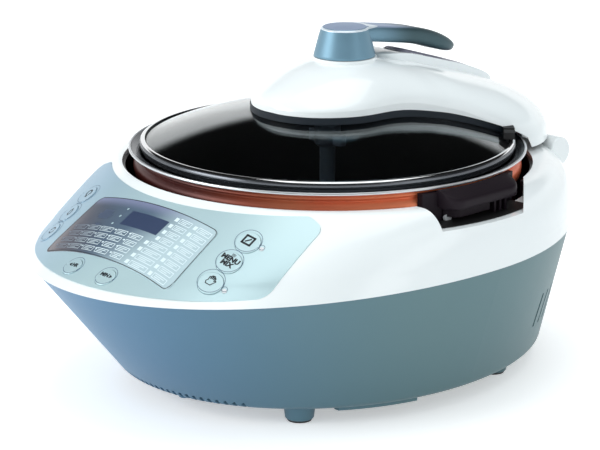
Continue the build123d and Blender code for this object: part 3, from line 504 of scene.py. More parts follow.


# Lever: painted metal, with a lilac top over the hub and the first half of the arm. A thin pale band round
# the front of the hub is a painted highlight
leverFinish = {
    "side": (0.15, 0.28, 0.37),
    "arm": (0.035, 0.080, 0.095),
    "top": (0.30, 0.39, 0.56),
    # The pale tone is a painted highlight, a thin band round the front of the hub
    "edge": (0.80, 0.88, 0.94),
    "armStart": 0.060,
    "armEnd": 0.105,
    "topStart": 0.080,
    "topEnd": 0.115,
    "facingLow": 0.72,
    "facingHigh": 0.9,
    "highlightLow": bowlMiddle.z + 0.0826,
    "highlightHigh": bowlMiddle.z + 0.0838,
    "hubBack": 0.072,
    "grainScale": 2600.0,
    "grain": 0.05,
    "metallic": 0.45,
    "roughness": 0.42,
}


def makeLever(spec):
    material, tree, shader = startMaterial("leverPaint")
    face = newNode(tree, "ShaderNodeNewGeometry")
    facing = newNode(tree, "ShaderNodeSeparateXYZ")
    upward = newNode(tree, "ShaderNodeMapRange", interpolation_type="SMOOTHSTEP")
    place = newNode(tree, "ShaderNodeTexCoord")
    parts = newNode(tree, "ShaderNodeSeparateXYZ")
    setInputs(upward, From_Min=spec["facingLow"], From_Max=spec["facingHigh"])
    joinNodes(tree, face.outputs["Normal"], facing.inputs[0])
    joinNodes(tree, facing.outputs["Z"], upward.inputs["Value"])
    joinNodes(tree, place.outputs["Object"], parts.inputs[0])
    along = runAlong(tree, (0, 1, 0), spec["armStart"], spec["armEnd"])
    fade = runAlong(tree, (0, -1, 0), -spec["topEnd"], -spec["topStart"])
    topMask = maths(tree, "MULTIPLY", upward.outputs["Result"], fade)
    # Painted highlight: a thin pale band at one height, round the front of the hub only
    above = maths(tree, "GREATER_THAN", parts.outputs["Z"], spec["highlightLow"])
    below = maths(tree, "LESS_THAN", parts.outputs["Z"], spec["highlightHigh"])
    front = maths(tree, "LESS_THAN", parts.outputs["Y"], spec["hubBack"])
    highlightMask = maths(tree, "MULTIPLY", maths(tree, "MULTIPLY", above, below), front)
    tone = mixValues(tree, spec["side"], spec["arm"], along)
    tone = mixValues(tree, tone, spec["top"], topMask)
    tone = mixValues(tree, tone, spec["edge"], highlightMask)
    joinNodes(tree, tone, shader.inputs["Base Color"])
    addFlake(tree, shader, spec)
    setInputs(shader, Metallic=spec["metallic"], Roughness=spec["roughness"])
    return material


finishes = {key: makeSurface(key, spec) for key, spec in plainFinishes.items()}
finishes.update({key: makeMetallic(key, spec) for key, spec in metallicFinishes.items()})
finishes["copperBowl"] = makeCopper(bowlFinish)
finishes["clearGlass"] = makeGlass(glassFinish)
finishes["leverPaint"] = makeLever(leverFinish)
print("materials made", len(finishes))

nodeFinish = {
    "whiteShell": ["upper_shell", "hinge_caps", "lid_cover"],
    "greyShell": [
        "lower_shell", "front_right_foot", "front_left_foot", "rear_right_foot", "rear_left_foot",
        "front_stub",
    ],
    "plainGrey": ["base_plate"],
    "padRubber": ["foot_pads"],
    "silverFascia": ["control_fascia"],
    "displayNavy": ["lcd_display"],
    "boardGreen": ["display_board", "left_button_board", "right_button_board", "power_board"],
    "blackPlastic": [
        "button_switches", "stirrer_gearbox", "mains_inlet", "fan_frame", "fan_rotor", "lock_cam",
    ],
    "stirrerGrey": ["stirring_paddle", "paddle_knob"],
    "paleScrew": ["handle_screws", "indicator_lights"],
    "blackClipsAndNotchShade": ["lid_clips"],
    "potBlack": ["well_liner"],
    "brightMetal": [
        "base_screws", "bowl_thermostat", "hinge_pin", "hinge_bracket", "hinge_arm", "drive_shaft",
    ],
    "mirrorSheet": ["heater_reflector", "upper_reflector"],
    "motorMetal": ["stirrer_motor"],
    "heaterSteel": ["lower_heater", "upper_heater", "heater_guard"],
    "handleAubergine": ["bowl_handle_right", "bowl_handle_left"],
    "clearGlass": ["glass_lid"],
    "slateSeal": ["cover_base"],
    "ridgeViolet": ["ridge_inlay"],
    "leverPaint": ["lid_lever"],
}


def dress(node, material):
    node.data.materials.clear()
    node.data.materials.append(material)


for key, names in nodeFinish.items():
    for name in names:
        dress(nodes[name], finishes[key])
for name in nodes:
    if name.endswith("_button"):
        dress(nodes[name], finishes["silverFascia"])


# A search tree over the faces of several CAD nodes
def surfaceOf(*names):
    points = []
    faces = []
    for name in names:
        mesh = nodes[name].data
        start = len(points)
        points.extend(v.co.copy() for v in mesh.vertices)
        faces.extend([start + index for index in face.vertices] for face in mesh.polygons)
    return BVHTree.FromPolygons(points, faces)


# A spot given in millimetres from the middle of the bowl's flange
def fromBowl(x, y, level):
    return bowlMiddle + Vector((x, y, level)) / 1000


# Where a search for a surface starts: above the flange, or off the slope, in metres. A search in plan that
# falls past the edge is made again at the shares nearer of x and y
search = {"above": 0.2, "off": 0.02, "nearer": (0.985, 0.998)}


# The highest point of a surface at x and y in plan, in millimetres from the bowl's middle
def dropOn(tree, x, y):
    start = bowlMiddle + Vector((x / 1000, y / 1000, search["above"]))
    place, normal, _, _ = tree.ray_cast(start, Vector((0, 0, -1)))
    return place, normal


# The front slope round one spot: finds where flat shapes, drawn in millimetres, lie on it
class Slope:
    def __init__(self, tree, x, y, rise):
        self.tree = tree
        self.origin, self.normal = dropOn(tree, x, y)
        self.rise = self.normal * rise
        self.across = Vector((1, 0, 0)) - self.normal * self.normal.x
        self.across.normalize()
        self.along = self.normal.cross(self.across)

    # The surface point u across and v up the slope from the spot
    def lay(self, u, v):
        start = self.origin + (self.across * u + self.along * v) / 1000 + self.normal * search["off"]
        place, _, _, _ = self.tree.ray_cast(start, -self.normal)
        if place is None:
            place = start - self.normal * search["off"]
        return place + self.rise

    # The surface point at x and y in plan
    def layPlan(self, x, y):
        place, _ = dropOn(self.tree, x, y)
        if place is None:
            across, along = search["nearer"]
            place, _ = dropOn(self.tree, x * across, y * along)
        return place + self.rise


# Short quads along a line; lap is the share of the width by which they run past its corners
def strokeShapes(points, width, closed=False, lap=0.35, longest=3.0):
    shapes = []
    last = len(points) if closed else len(points) - 1
    for index in range(last):
        start = Vector(points[index])
        end = Vector(points[(index + 1) % len(points)])
        side = (end - start).normalized()
        across = Vector((-side.y, side.x)) * width / 2
        start = start - side * width * lap
        end = end + side * width * lap
        pieces = max(1, math.ceil((end - start).length / longest))
        for piece in range(pieces):
            here = start.lerp(end, piece / pieces)
            there = start.lerp(end, (piece + 1) / pieces)
            shapes.append([here + across, here - across, there - across, there + across])
    return shapes


# A box as small quads, so that it follows the curved panel
def gridShapes(left, low, right, high, step=4.0):
    columns = max(1, math.ceil((right - left) / step))
    rows = max(1, math.ceil((high - low) / step))
    wide = (right - left) / columns
    tall = (high - low) / rows
    corners = [(left + wide * column, low + tall * row) for column in range(columns) for row in range(rows)]
    return [[(x, y), (x + wide, y), (x + wide, y + tall), (x, y + tall)] for x, y in corners]


# The four sides of a box as thin strokes
def frameShapes(left, low, right, high, width):
    sides = (
        (left, low, right, low + width), (left, high - width, right, high),
        (left, low + width, left + width, high - width), (right - width, low + width, right, high - width),
    )
    return [shape for side in sides for shape in gridShapes(*side)]


def arcPoints(radius, start, end, count, centre=(0.0, 0.0)):
    turns = [math.radians(start + (end - start) * step / (count - 1)) for step in range(count)]
    return [(centre[0] + radius * math.cos(turn), centre[1] + radius * math.sin(turn)) for turn in turns]


# The built-in font's letters as polygons, centred on a spot; bold is the share of the size added all round
def wordShapes(text, size, spot, bold=0.055):
    curve = bpy.data.curves.new("word", "FONT")
    curve.body = text
    curve.size = size
    curve.align_x = "CENTER"
    curve.align_y = "CENTER"
    curve.resolution_u = 2
    curve.offset = size * bold
    holder = bpy.data.objects.new("word", curve)
    mesh = bpy.data.meshes.new_from_object(holder)
    shapes = []
    for face in mesh.polygons:
        corners = [mesh.vertices[index].co for index in face.vertices]
        shapes.append([(spot[0] + corner.x, spot[1] + corner.y) for corner in corners])
    bpy.data.objects.remove(holder)
    bpy.data.meshes.remove(mesh)
    bpy.data.curves.remove(curve)
    return shapes


def addObject(name, mesh, body):
    piece = bpy.data.objects.new(name, mesh)
    bpy.context.scene.collection.objects.link(piece)
    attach(piece, body)
    return piece


# A thin print: place says where each corner of the flat shapes lies
def addPrint(name, shapes, place, material, body="housing"):
    points = []
    faces = []
    for shape in shapes:
        faces.append(list(range(len(points), len(points) + len(shape))))
        points.extend(place(x, y) for x, y in shape)
    mesh = bpy.data.meshes.new(name)
    mesh.from_pydata(points, [], faces)
    mesh.materials.append(material)
    addObject(name, mesh, body)


# A mesh as a finished piece that rides on a CAD body; edges sharper than bend degrees stay sharp
def addPiece(name, points, faces, materials, slots=None, body="housing", bend=35.0):
    mesh = bpy.data.meshes.new(name)
    mesh.from_pydata(points, [], faces)
    for material in materials:
        mesh.materials.append(material)
    for index, face in enumerate(mesh.polygons):
        face.use_smooth = True
        face.material_index = slots[index] if slots else 0
    work = bmesh.new()
    work.from_mesh(mesh)
    bmesh.ops.recalc_face_normals(work, faces=work.faces)
    work.to_mesh(mesh)
    work.free()
    mesh.set_sharp_from_angle(angle=math.radians(bend))
    return addObject(name, mesh, body)


# Faces of a grid of points that is filled row by row
def gridFaces(rows, columns):
    width = columns + 1
    corners = [row * width + column for row in range(rows) for column in range(columns)]
    return [[here, here + 1, here + width + 1, here + width] for here in corners]


# Faces between neighbours in a row of loops, each of size points; joined ties the last loop to the first
def loopFaces(loops, size, joined=False):
    faces = []
    for step in range(loops if joined else loops - 1):
        here = step * size
        there = (step + 1) % loops * size
        for index in range(size):
            after = (index + 1) % size
            faces.append([here + index, there + index, there + after, here + after])
    return faces


# Turned pieces: a closed profile round the bowl's axis, in runs of (radius, level) that share a finish
def turnPiece(name, runs, body="housing", sectors=160):
    profile = [(radius, level, finish) for finish, spots in runs for radius, level in spots]
    keys = sorted({finish for _, _, finish in profile})
    points = []
    for step in range(sectors):
        turn = 2 * math.pi * step / sectors
        for radius, level, _ in profile:
            points.append(fromBowl(radius * math.cos(turn), radius * math.sin(turn), level))
    faces = loopFaces(sectors, len(profile), True)
    slots = [keys.index(finish) for _, _, finish in profile] * sectors
    return addPiece(name, points, faces, [finishes[key] for key in keys], slots, body)


# The bowl: outside from the base up, then the flange's rolled bead, then the inside down to the chimney
bowlProfile = (
    ("copperBowl", (
        (3.1, -105.0), (117.0, -105.0), (122.5, -103.8), (126.5, -101.0), (129.2, -96.5), (131.0, -91.0),
        (138.7, -22.0), (139.9, -18.5), (140.7, -16.0), (141.0, -13.5), (140.7, -11.2), (139.7, -9.2),
        (138.1, -7.9), (137.2, -7.3), (137.2, -6.6), (138.3, -5.9), (138.9, -4.9), (138.6, -3.9),
        (137.8, -3.2),
    )),
    ("flangeSteel", (
        (138.2, -2.2), (141.6, -1.6), (142.7, -1.55), (143.5, -1.35), (144.2, -0.8), (144.4, -0.1),
        (144.1, 0.5), (143.4, 0.8),
    )),
    # The flange's inner lip, in the groove under the lid's rim, is steel in painted shade
    ("darkSteel", ((142.7, 0.6), (142.2, -0.1), (139.0, -0.8))),
    ("potBlack", (
        (136.6, -1.8), (135.2, -3.6), (134.6, -6.0), (136.9, -18.0), (128.6, -90.0), (127.0, -96.0),
        (124.6, -99.3), (121.0, -101.6), (116.5, -102.5), (4.6, -102.5), (4.6, -12.0), (3.1, -12.0),
    )),
)
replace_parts(turnPiece("turnedBowl", bowlProfile), "bowl")

# The lid's rim: a bright rolled chrome top over a standing edge that is the same chrome in painted shade
rimProfile = (
    ("rimChrome", ((132.4, 6.1), (133.6, 6.2), (134.6, 5.9))),
    # Chrome in painted shade on the standing edge
    ("darkSteel", ((135.4, 5.3), (136.0, 4.5), (136.3, 3.6), (136.4, 2.6))),
    ("rimChrome", ((136.2, 1.8), (135.8, 1.2))),
    # Chrome in painted shade on the underside
    ("darkSteel", (
        (135.1, 0.8), (134.9, -1.3), (132.9, -1.4), (132.5, 0.4), (134.4, 1.5), (134.5, 4.0), (132.4, 5.2),
    )),
)
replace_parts(turnPiece("turnedRim", rimProfile, "lid"), "glass_rim")
print("turned pieces made")


# Bowl handles: a thick rounded grip that slopes down from the flange and out through the notch. The last
# four entries round the section's corners: offsets from each corner
grip = {
    "start": 145.3,
    "startLevel": -1.7,
    "reach": 157.6,
    "endLevel": -7.2,
    "foot": -14.2,
    "half": 34.6,
    "corner": 10.0,
    "stations": 40,
    "leastReach": 1.2,
    "leastDepth": 1.6,
    "innerTop": ((-1.4, -0.6), (0.0, 0.0)),
    "outerTop": ((-2.2, 0.9), (-1.1, 0.2), (-0.3, -0.9), (0.0, -2.2)),
    "outerFoot": ((0.0, 1.5), (-0.4, 0.5), (-1.4, 0.0)),
    "innerFoot": ((0.8, 0.6), (-1.4, 1.4)),
}


def gripSection(spec, y):
    inner = math.sqrt(spec["start"] ** 2 - y * y)
    over = max(0.0, abs(y) - (spec["half"] - spec["corner"]))
    reach = spec["reach"] - spec["corner"] + math.sqrt(max(0.0, spec["corner"] ** 2 - over * over))
    reach = max(reach, inner + spec["leastReach"])
    slope = (spec["endLevel"] - spec["startLevel"]) / (spec["reach"] - inner)
    edge = spec["startLevel"] + slope * (reach - inner)
    deep = min(edge - spec["leastDepth"], spec["foot"])
    corners = (
        (inner, spec["startLevel"], "innerTop"), (reach, edge, "outerTop"),
        (reach, deep, "outerFoot"), (inner, deep, "innerFoot"),
    )
    return [(x + out, level + up) for x, level, key in corners for out, up in spec[key]]


def makeGrip(name, side, spec):
    points = []
    last = spec["stations"]
    for step in range(last + 1):
        y = spec["half"] * math.sin(math.pi / 2 * (2 * step / last - 1))
        section = gripSection(spec, y)
        points.extend(fromBowl(side * x, y, level) for x, level in section)
    size = len(section)
    ends = [list(range(size)), list(range(last * size, (last + 1) * size))]
    addPiece(name, points, loopFaces(last + 1, size) + ends, [finishes["handleAubergine"]], bend=40.0)


# A plain wall under the front half of each grip, with its outline in plan
gripWall = {
    "outline": ((143.0, -31.0), (150.6, -27.0), (152.6, -24.0), (152.6, 6.0), (146.0, 6.0)),
    "levels": (-12.5, -20.4),
}


def makeGripWall(name, side, spec):
    points = [fromBowl(side * x, y, level) for level in spec["levels"] for x, y in spec["outline"]]
    size = len(spec["outline"])
    faces = loopFaces(2, size) + [list(range(size)), list(range(size, 2 * size))]
    addPiece(name, points, faces, [finishes["handleAubergine"]], bend=30.0)


# Ribs under the rear half of each grip: Geometry Nodes put one bar at each point of a line, in metres
gripRibs = {
    "start": (0.1480, 0.0380, 0.1448),
    "step": (0, 0.0055, 0),
    "size": (0.011, 0.0020, 0.011),
    "count": 3,
}


def buildBarTree():
    tree = bpy.data.node_groups.new("barRow", "GeometryNodeTree")
    kinds = {"Start": "Vector", "Step": "Vector", "Size": "Vector", "Count": "Int", "Finish": "Material"}
    for label, kind in kinds.items():
        tree.interface.new_socket(name=label, in_out="INPUT", socket_type="NodeSocket" + kind)
    tree.interface.new_socket(name="Bars", in_out="OUTPUT", socket_type="NodeSocketGeometry")
    entry = tree.nodes.new("NodeGroupInput")
    leave = tree.nodes.new("NodeGroupOutput")
    line = newNode(tree, "GeometryNodeMeshLine", mode="OFFSET")
    bar = newNode(tree, "GeometryNodeMeshCube")
    spread = newNode(tree, "GeometryNodeInstanceOnPoints")
    real = newNode(tree, "GeometryNodeRealizeInstances")
    paint = newNode(tree, "GeometryNodeSetMaterial")
    joinNodes(tree, entry.outputs["Start"], line.inputs["Start Location"])
    joinNodes(tree, entry.outputs["Step"], line.inputs["Offset"])
    joinNodes(tree, entry.outputs["Count"], line.inputs["Count"])
    joinNodes(tree, entry.outputs["Size"], bar.inputs["Size"])
    joinNodes(tree, line.outputs["Mesh"], spread.inputs["Points"])
    joinNodes(tree, bar.outputs["Mesh"], spread.inputs["Instance"])
    joinNodes(tree, spread.outputs["Instances"], real.inputs["Geometry"])
    joinNodes(tree, real.outputs["Geometry"], paint.inputs["Geometry"])
    joinNodes(tree, entry.outputs["Finish"], paint.inputs["Material"])
    joinNodes(tree, paint.outputs["Geometry"], leave.inputs["Bars"])
    return tree


barTree = buildBarTree()


def makeRibs(name, side, spec):
    holder = bpy.data.objects.new(name + "Source", bpy.data.meshes.new(name + "Source"))
    bpy.context.scene.collection.objects.link(holder)
    modifier = holder.modifiers.new("bars", "NODES")
    modifier.node_group = barTree
    x, y, z = spec["start"]
    values = {
        "Start": (side * x, y, z), "Step": spec["step"], "Size": spec["size"], "Count": spec["count"],
        "Finish": finishes["handleAubergine"],
    }
    for item in barTree.interface.items_tree:
        if item.in_out == "INPUT":
            modifier[item.identifier] = values[item.name]
    bpy.context.view_layer.update()
    shaped = holder.evaluated_get(bpy.context.evaluated_depsgraph_get())
    mesh = bpy.data.meshes.new_from_object(shaped)
    bpy.data.objects.remove(holder)
    addObject(name, mesh, "housing")


# A black sheet on the floor of each notch, behind the grip, with a narrow lip down its inner edge: partly
# the dark liner's own colour, partly painted shade under the grip. Its outer edge draws in towards the ends,
# by the square of the distance over curve
notchShadeLining = {
    "level": -23.1,
    "inner": 140.8,
    "outer": 163.8,
    "curve": 300.0,
    "front": -46.0,
    "rear": 43.0,
    "steps": 24,
    "lipDrop": 2.0,
    "lipRun": 0.2,
}


def makeNotchShadeLining(name, side, spec):
    points = []
    for step in range(spec["steps"] + 1):
        y = spec["front"] + (spec["rear"] - spec["front"]) * step / spec["steps"]
        inner = math.sqrt(spec["inner"] ** 2 - y * y)
        outer = spec["outer"] - y * y / spec["curve"]
        points.append(fromBowl(side * inner, y, spec["level"] - spec["lipDrop"]))
        points.append(fromBowl(side * (inner + spec["lipRun"]), y, spec["level"]))
        points.append(fromBowl(side * outer, y, spec["level"]))
    addPiece(name, points, gridFaces(spec["steps"], 2), [finishes["blackClipsAndNotchShade"]])


pairs = (
    ("Grip", makeGrip, grip), ("GripWall", makeGripWall, gripWall), ("GripRibs", makeRibs, gripRibs),
    ("NotchShadeLining", makeNotchShadeLining, notchShadeLining),
)
for kind, make, spec in pairs:
    make("right" + kind, 1, spec)
    make("left" + kind, -1, spec)
print("grips made")


# The ridge's inlay stands a little proud of the cover, most at its front end. Each end starts with endShare
# of the height and about endWidth of the width, and is whole within frontRows or rearRows. The long edges
# fall off with the power edgeFall, and all of it stands lift above the cover
ridgeWedge = {
    "half": 11.5,
    "front": 66.5,
    "rear": 152.0,
    "frontRise": 2.3,
    "rearRise": 0.5,
    "rows": 40,
    "columns": 14,
    "frontRows": 2,
    "rearRows": 3,
    "endShare": 0.12,
    "endWidth": 0.8,
    "edgeFall": 8,
    "lift": 0.1,
}


def makeRidgeWedge(spec):
    cover = surfaceOf("lid_cover", "ridge_inlay")
    points = []
    for row in range(spec["rows"] + 1):
        share = row / spec["rows"]
        y = spec["front"] + (spec["rear"] - spec["front"]) * share
        rise = spec["frontRise"] + (spec["rearRise"] - spec["frontRise"]) * share
        nearest = min(row / spec["frontRows"], (spec["rows"] - row) / spec["rearRows"])
        ends = min(1.0, spec["endShare"] + nearest)
        for column in range(spec["columns"] + 1):
            across = 2 * column / spec["columns"] - 1
            x = across * spec["half"] * (spec["endWidth"] + (1 - spec["endWidth"]) * ends)
            place, _ = dropOn(cover, x, y)
            height = rise * ends * (1 - abs(across) ** spec["edgeFall"]) + spec["lift"]
            points.append(place + Vector((0, 0, height / 1000)))
    faces = gridFaces(spec["rows"], spec["columns"])
    addPiece("ridgeWedge", points, faces, [finishes["ridgeViolet"]], body="lid")


makeRidgeWedge(ridgeWedge)
print("ridge made")


# Inks of the prints: two close tones each
inkGloss = {"roughness": 0.5, "grain": 0.1}
inkTones = {
    "printInk": {"first": (0.006, 0.010, 0.016), "second": (0.010, 0.015, 0.022)},
    "ringInk": {"first": (0.13, 0.20, 0.28), "second": (0.15, 0.23, 0.31)},
    "screenInk": {"first": (0.022, 0.040, 0.098), "second": (0.028, 0.050, 0.115)},
    "iconInk": {"first": (0.055, 0.080, 0.135), "second": (0.065, 0.095, 0.155)},
}
finishes.update({key: makeSurface(key, {**inkGloss, **tones}) for key, tones in inkTones.items()})


# Icons on the buttons, drawn in millimetres round each button's middle
handOutline = [
    (-2.2, -3.4), (1.6, -3.4), (2.4, -1.8), (3.6, 0.6), (3.0, 1.2), (2.1, 0.2), (2.3, 2.6), (1.7, 3.0),
    (1.1, 1.2), (0.9, 3.8), (0.2, 3.9), (0.0, 1.4), (-0.5, 3.7), (-1.2, 3.5), (-1.0, 1.0), (-1.9, 2.6),
    (-2.5, 2.2), (-2.1, -0.2), (-2.9, -1.6),
]
flameOutline = [(0, -3.2), (-2.0, -1.4), (-1.6, 0.8), (0.2, 3.4), (1.9, 0.6), (1.8, -1.6)]
buttonIcons = {
    "start_button": strokeShapes([(-3.3, -3.3), (3.3, -3.3), (3.3, 3.3), (-3.3, 3.3)], 1.5, True)
    + strokeShapes([(-1.4, -1.6), (1.4, 1.6)], 1.1),
    "menu_button": strokeShapes([(-1.3, 5.6), (1.3, 5.6)], 0.4)
    + strokeShapes([(-1.3, 4.8), (1.3, 4.8)], 0.4)
    + strokeShapes([(-1.3, 4.0), (1.3, 4.0)], 0.4)
    + wordShapes("MENU", 5.2, (0, 1.2))
    + wordShapes("MIX", 5.2, (0, -3.2)),
    "manual_button": strokeShapes(handOutline, 0.65, True),
    "light_button": strokeShapes(arcPoints(2.6, -55, 235, 14, (0, 0.8)), 1.2)
    + strokeShapes([(-1.2, -2.6), (1.2, -2.6)], 0.9)
    + strokeShapes([(-0.9, -3.6), (0.9, -3.6)], 0.6),
    "heat_button": strokeShapes(flameOutline, 0.9, True),
    "mix_button": strokeShapes(arcPoints(2.8, 20, 160, 9), 0.9)
    + strokeShapes(arcPoints(2.8, 200, 340, 9), 0.9)
    + [[(-3.6, 1.4), (-1.8, 1.4), (-2.9, -0.2)], [(3.6, -1.4), (1.8, -1.4), (2.9, 0.2)]],
    "hour_button": wordShapes("HR", 4.2, (1.4, 0)) + [[(-2.2, -1.6), (-2.2, 1.6), (-4.6, 0)]],
    "minute_button": wordShapes("MIN", 4.2, (-1.4, 0)) + [[(3.2, -1.6), (5.6, 0), (3.2, 1.6)]],
}

# Each print's rise over the surface is in metres, and the rings are in millimetres
iconRise = 0.00005
ringRise = 0.00004
buttonRing = {"gap": 0.45, "width": 0.45, "corners": 49}
lightRing = {"radius": 2.0, "width": 0.4, "corners": 25}


def slopeAt(spot, rise, *names):
    return Slope(surfaceOf(*names), spot.x * 1000, (spot.y - bowlMiddle.y) * 1000, rise)


def printRing(name, slope, radius, spec):
    ring = strokeShapes(arcPoints(radius, 0, 360, spec["corners"]), spec["width"])
    addPrint(name, ring, slope.lay, finishes["ringInk"])


def printButtons(spec):
    for name, shapes in buttonIcons.items():
        low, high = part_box(name)
        middle = (low + high) / 2
        face = slopeAt(middle, iconRise, name)
        addPrint(name + "Icon", shapes, face.lay, finishes["printInk"], name)
        panel = slopeAt(middle, ringRise, name, "control_fascia")
        printRing(name + "Ring", panel, (high.x - low.x) * 500 + spec["gap"], spec)


# A thin ring round each indicator light
def printLights(spec):
    low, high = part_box("indicator_lights")
    middle = (low + high) / 2
    spots = [vertex.co for vertex in nodes["indicator_lights"].data.vertices]
    for name, near in (("lightRingFront", True), ("lightRingRear", False)):
        light = [spot for spot in spots if (spot.y < middle.y) == near]
        centre = sum(light, Vector()) / len(light)
        panel = slopeAt(centre, ringRise, "control_fascia", "indicator_lights")
        printRing(name, panel, spec["radius"], spec)


printButtons(buttonRing)
printLights(lightRing)
print("buttons printed")


# The window's film: smoky violet at the upper left, slate in the middle, silver at the right. Each layer
# has its tone, and the direction, start and end in metres of the run that brings it in
windowFilm = {
    "left": (0.085, 0.105, 0.145),
    "layers": {
        "middle": ((0.105, 0.155, 0.220), (1, 0.25, 0), -0.100, -0.040),
        "corner": ((0.150, 0.135, 0.150), (-0.8, -0.6, 0), 0.115, 0.160),
        "upper": ((0.230, 0.260, 0.400), (0, 1, 0), -0.143, -0.134),
        "right": ((0.520, 0.670, 0.720), (1, -0.45, 0), 0.060, 0.115),
    },
    "grainScale": 2200.0,
    "grain": 0.04,
    "shader": {"Roughness": 0.25, "Metallic": 0.1, "Coat_Weight": 0.3, "Coat_Roughness": 0.05},
}


def makeWindowFilm(spec):
    material, tree, shader = startMaterial("windowFilm")
    tone = spec["left"]
    for layer, direction, start, end in spec["layers"].values():
        tone = mixValues(tree, tone, layer, runAlong(tree, direction, start, end))
    joinNodes(tree, tone, shader.inputs["Base Color"])
    addFlake(tree, shader, spec)
    setInputs(shader, **spec["shader"])
    return material


# Pale print that fades into the film towards the left
legendFinish = {
    "faded": (0.12, 0.15, 0.20),
    "clear": (0.70, 0.82, 0.86),
    "start": -0.058,
    "end": -0.005,
    "roughness": 0.35,
}


def makeLegendInk(spec):
    material, tree, shader = startMaterial("legendInk")
    fade = runAlong(tree, (1, 0, 0), spec["start"], spec["end"])
    joinNodes(tree, mixValues(tree, spec["faded"], spec["clear"], fade), shader.inputs["Base Color"])
    setInputs(shader, Roughness=spec["roughness"])
    return material


dress(nodes["display_window"], makeWindowFilm(windowFilm))
finishes["legendInk"] = makeLegendInk(legendFinish)

# The printed boxes and marks, in plan from the bowl's axis. Under the screen every other box starts boxShift
# further on, and each has a mark at its corner. At the right a column has a left edge and a width, a column
# narrower than narrow is solid marks, and the first highRows rows have columns of their own
legend = {
    "rows": (-189.4, -195.2, -201.0, -206.8),
    "columns": (-56.5, -42.8, -28.6, -13.8, 1.6),
    "boxWidth": 12.2,
    "boxHeight": 4.0,
    "boxShift": 1.4,
    "line": 0.5,
    "textLines": ((0.64, 0.82), (0.34, 0.62)),
    "textStart": 0.14,
    "textHalf": 0.26,
    "mark": (-1.2, 0.4, 0.6, 1.6),
    "highColumns": ((23.8, 3.2), (28.2, 11.4), (42.4, 3.0), (46.6, 12.6)),
    "lowColumns": ((18.6, 3.2), (23.0, 17.0), (42.4, 3.0), (46.6, 12.6)),
    "highRows": 4,
    "rightRows": 8,
    "rightTop": -167.4,
    "rightPitch": 5.75,
    "narrow": 4.0,
    "markHalf": 1.5,
}


def legendBox(spec, left, middle, wide):
    tall = spec["boxHeight"]
    low = middle - tall / 2
    shapes = frameShapes(left, low, left + wide, low + tall, spec["line"])
    for share, reach in spec["textLines"]:
        level = low + tall * share
        start = left + wide * spec["textStart"]
        shapes += gridShapes(start, level - spec["textHalf"], left + wide * reach, level + spec["textHalf"])
    return shapes


def windowLegend(spec):
    shapes = []
    markLeft, markLow, markRight, markHigh = spec["mark"]
    for rowIndex, row in enumerate(spec["rows"]):
        for columnIndex, column in enumerate(spec["columns"]):
            shift = spec["boxShift"] * ((rowIndex + columnIndex) % 2)
            shapes += legendBox(spec, column + shift, row, spec["boxWidth"] - shift)
            shapes += gridShapes(column + markLeft, row + markLow, column + markRight, row + markHigh)
    for row in range(spec["rightRows"]):
        middle = spec["rightTop"] - spec["rightPitch"] * row
        for left, wide in spec["highColumns" if row < spec["highRows"] else "lowColumns"]:
            if wide < spec["narrow"]:
                low, high = middle - spec["markHalf"], middle + spec["markHalf"]
                shapes += gridShapes(left, low, left + wide, high)
            else:
                shapes += legendBox(spec, left, middle, wide)
    return shapes


# The outline of the window, set in from its edge, with rounded corners
windowEdge = {
    "halfTop": 61.6,
    "halfBottom": 64.0,
    "top": -161.9,
    "bottom": -211.1,
    "corner": 4.6,
    "width": 0.5,
    "rise": 0.00006,
}


def windowOutline(spec):
    points = []
    corners = (
        (spec["halfTop"], spec["top"], 0), (-spec["halfTop"], spec["top"], 90),
        (-spec["halfBottom"], spec["bottom"], 180), (spec["halfBottom"], spec["bottom"], 270),
    )
    radius = spec["corner"]
    for x, y, start in corners:
        centre = (x - math.copysign(radius, x), y - radius if start < 180 else y + radius)
        points += arcPoints(radius, start, start + 90, 6, centre)
    return strokeShapes(points, spec["width"], True)


# The rest of the window's prints: boxes are left, low, right and high, in plan from the bowl's axis
windowPrints = {
    "middle": (0, -186),
    "screen": (-16.2, -183.4, 21.6, -170.9),
    "screenStep": 2.0,
    "icons": (
        (-43, -181, -33, -173), (-45, -179, -43, -176), (-33, -179, -31, -176),
        (-38.5, -187.6, -33.5, -185.4),
    ),
    "dots": ((-22.3, -170.2), (-22.9, -176.9), (-23.1, -183.9)),
    "dotRadius": 0.9,
}


def printWindow(spec):
    tree = surfaceOf("display_window")
    face = Slope(tree, *spec["middle"], iconRise)
    edge = Slope(tree, *spec["middle"], windowEdge["rise"])
    screen = gridShapes(*spec["screen"], spec["screenStep"])
    icons = [shape for box in spec["icons"] for shape in gridShapes(*box, spec["screenStep"])]
    dots = [arcPoints(spec["dotRadius"], 0, 330, 12, spot) for spot in spec["dots"]]
    addPrint("windowLegend", windowLegend(legend), face.layPlan, finishes["legendInk"])
    addPrint("screenFace", screen, face.layPlan, finishes["screenInk"])
    addPrint("windowIcons", icons, face.layPlan, finishes["iconInk"])
    addPrint("windowDots", dots, face.layPlan, finishes["silverFascia"])
    addPrint("windowOutline", windowOutline(windowEdge), edge.layPlan, finishes["printInk"])


printWindow(windowPrints)
print("window printed")


# Floor, world and lamps
stage = {
    "floorSize": 12.0,
    "floorTone": (0.93, 0.93, 0.93),
    "floorRoughness": 0.6,
    "floorGlow": 0.42,
    "backTone": (1.0, 1.0, 1.0),
    "fillTone": (0.90, 0.97, 1.0),
    "fill": 0.73,
    "screenTop": 0.30,
    "screenFade": 0.40,
    "ceiling": 0.012,
}


# Three masks: one for a look by way of a mirror or through glass, one for a direct look, and one for either
def rayMasks(tree):
    rays = newNode(tree, "ShaderNodeLightPath")
    mirrored = maths(tree, "MAXIMUM", rays.outputs["Is Glossy Ray"], rays.outputs["Is Transmission Ray"])
    direct = rays.outputs["Is Camera Ray"]
    return mirrored, direct, maths(tree, "MAXIMUM", mirrored, direct)


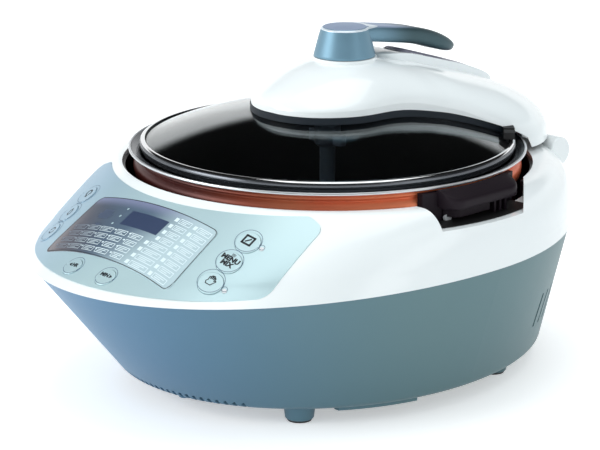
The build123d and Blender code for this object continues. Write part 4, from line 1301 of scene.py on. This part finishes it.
def buildStage(spec):
    bpy.ops.mesh.primitive_plane_add(size=spec["floorSize"])
    floor = bpy.context.object
    floor.name = "studioFloor"
    material, tree, shader = startMaterial("studioFloor")
    _, _, seen = rayMasks(tree)
    joinNodes(tree, maths(tree, "MULTIPLY", seen, spec["floorGlow"]), shader.inputs["Emission Strength"])
    setInputs(
        shader, Base_Color=opaque(spec["floorTone"]), Roughness=spec["floorRoughness"],
        Emission_Color=opaque(spec["backTone"]),
    )
    dress(floor, material)


# The world: a white screen all round up to a height, and a dark ceiling above it that only reflections meet
def buildWorld(spec):
    world = bpy.data.worlds.new("studioWorld")
    bpy.context.scene.world = world
    world.use_nodes = True
    tree = world.node_tree
    shown = tree.nodes["Background"]
    place = newNode(tree, "ShaderNodeTexCoord")
    parts = newNode(tree, "ShaderNodeSeparateXYZ")
    above = newNode(tree, "ShaderNodeMapRange", interpolation_type="SMOOTHSTEP")
    setInputs(above, From_Min=spec["screenTop"], From_Max=spec["screenFade"])
    setInputs(above, To_Min=1.0, To_Max=spec["ceiling"])
    mirrored, direct, seen = rayMasks(tree)
    joinNodes(tree, place.outputs["Generated"], parts.inputs[0])
    joinNodes(tree, parts.outputs["Z"], above.inputs["Value"])
    strength = mixValues(tree, spec["fill"], above.outputs["Result"], mirrored, kind="FLOAT")
    strength = mixValues(tree, strength, 1.0, direct, kind="FLOAT")
    tone = mixValues(tree, spec["fillTone"], spec["backTone"], seen)
    joinNodes(tree, strength, shown.inputs["Strength"])
    joinNodes(tree, tone, shown.inputs["Color"])


lamps = {
    "topBox": {"spot": (0.1, 0.1, 1.7), "aim": (0, 0, 0.12), "size": (1.6, 1.2), "power": 9.0},
    "leftBox": {"spot": (-1.0, -1.9, 0.9), "aim": (0, -0.1, 0.10), "size": (1.4, 1.2), "power": 26.0},
    "rightBox": {"spot": (1.9, 0.3, 0.9), "aim": (0, 0, 0.12), "size": (0.9, 1.4), "power": 3.4},
}


def buildLamps(specs):
    for name, spec in specs.items():
        data = bpy.data.lights.new(name, "AREA")
        data.shape = "RECTANGLE"
        data.size, data.size_y = spec["size"]
        data.energy = spec["power"]
        lamp = bpy.data.objects.new(name, data)
        spot = Vector(spec["spot"])
        lamp.location = spot
        lamp.rotation_euler = (Vector(spec["aim"]) - spot).to_track_quat("-Z", "Y").to_euler()
        bpy.context.scene.collection.objects.link(lamp)


buildStage(stage)
buildWorld(stage)
buildLamps(lamps)
bpy.context.scene.view_settings.view_transform = "Standard"
print("stage set")
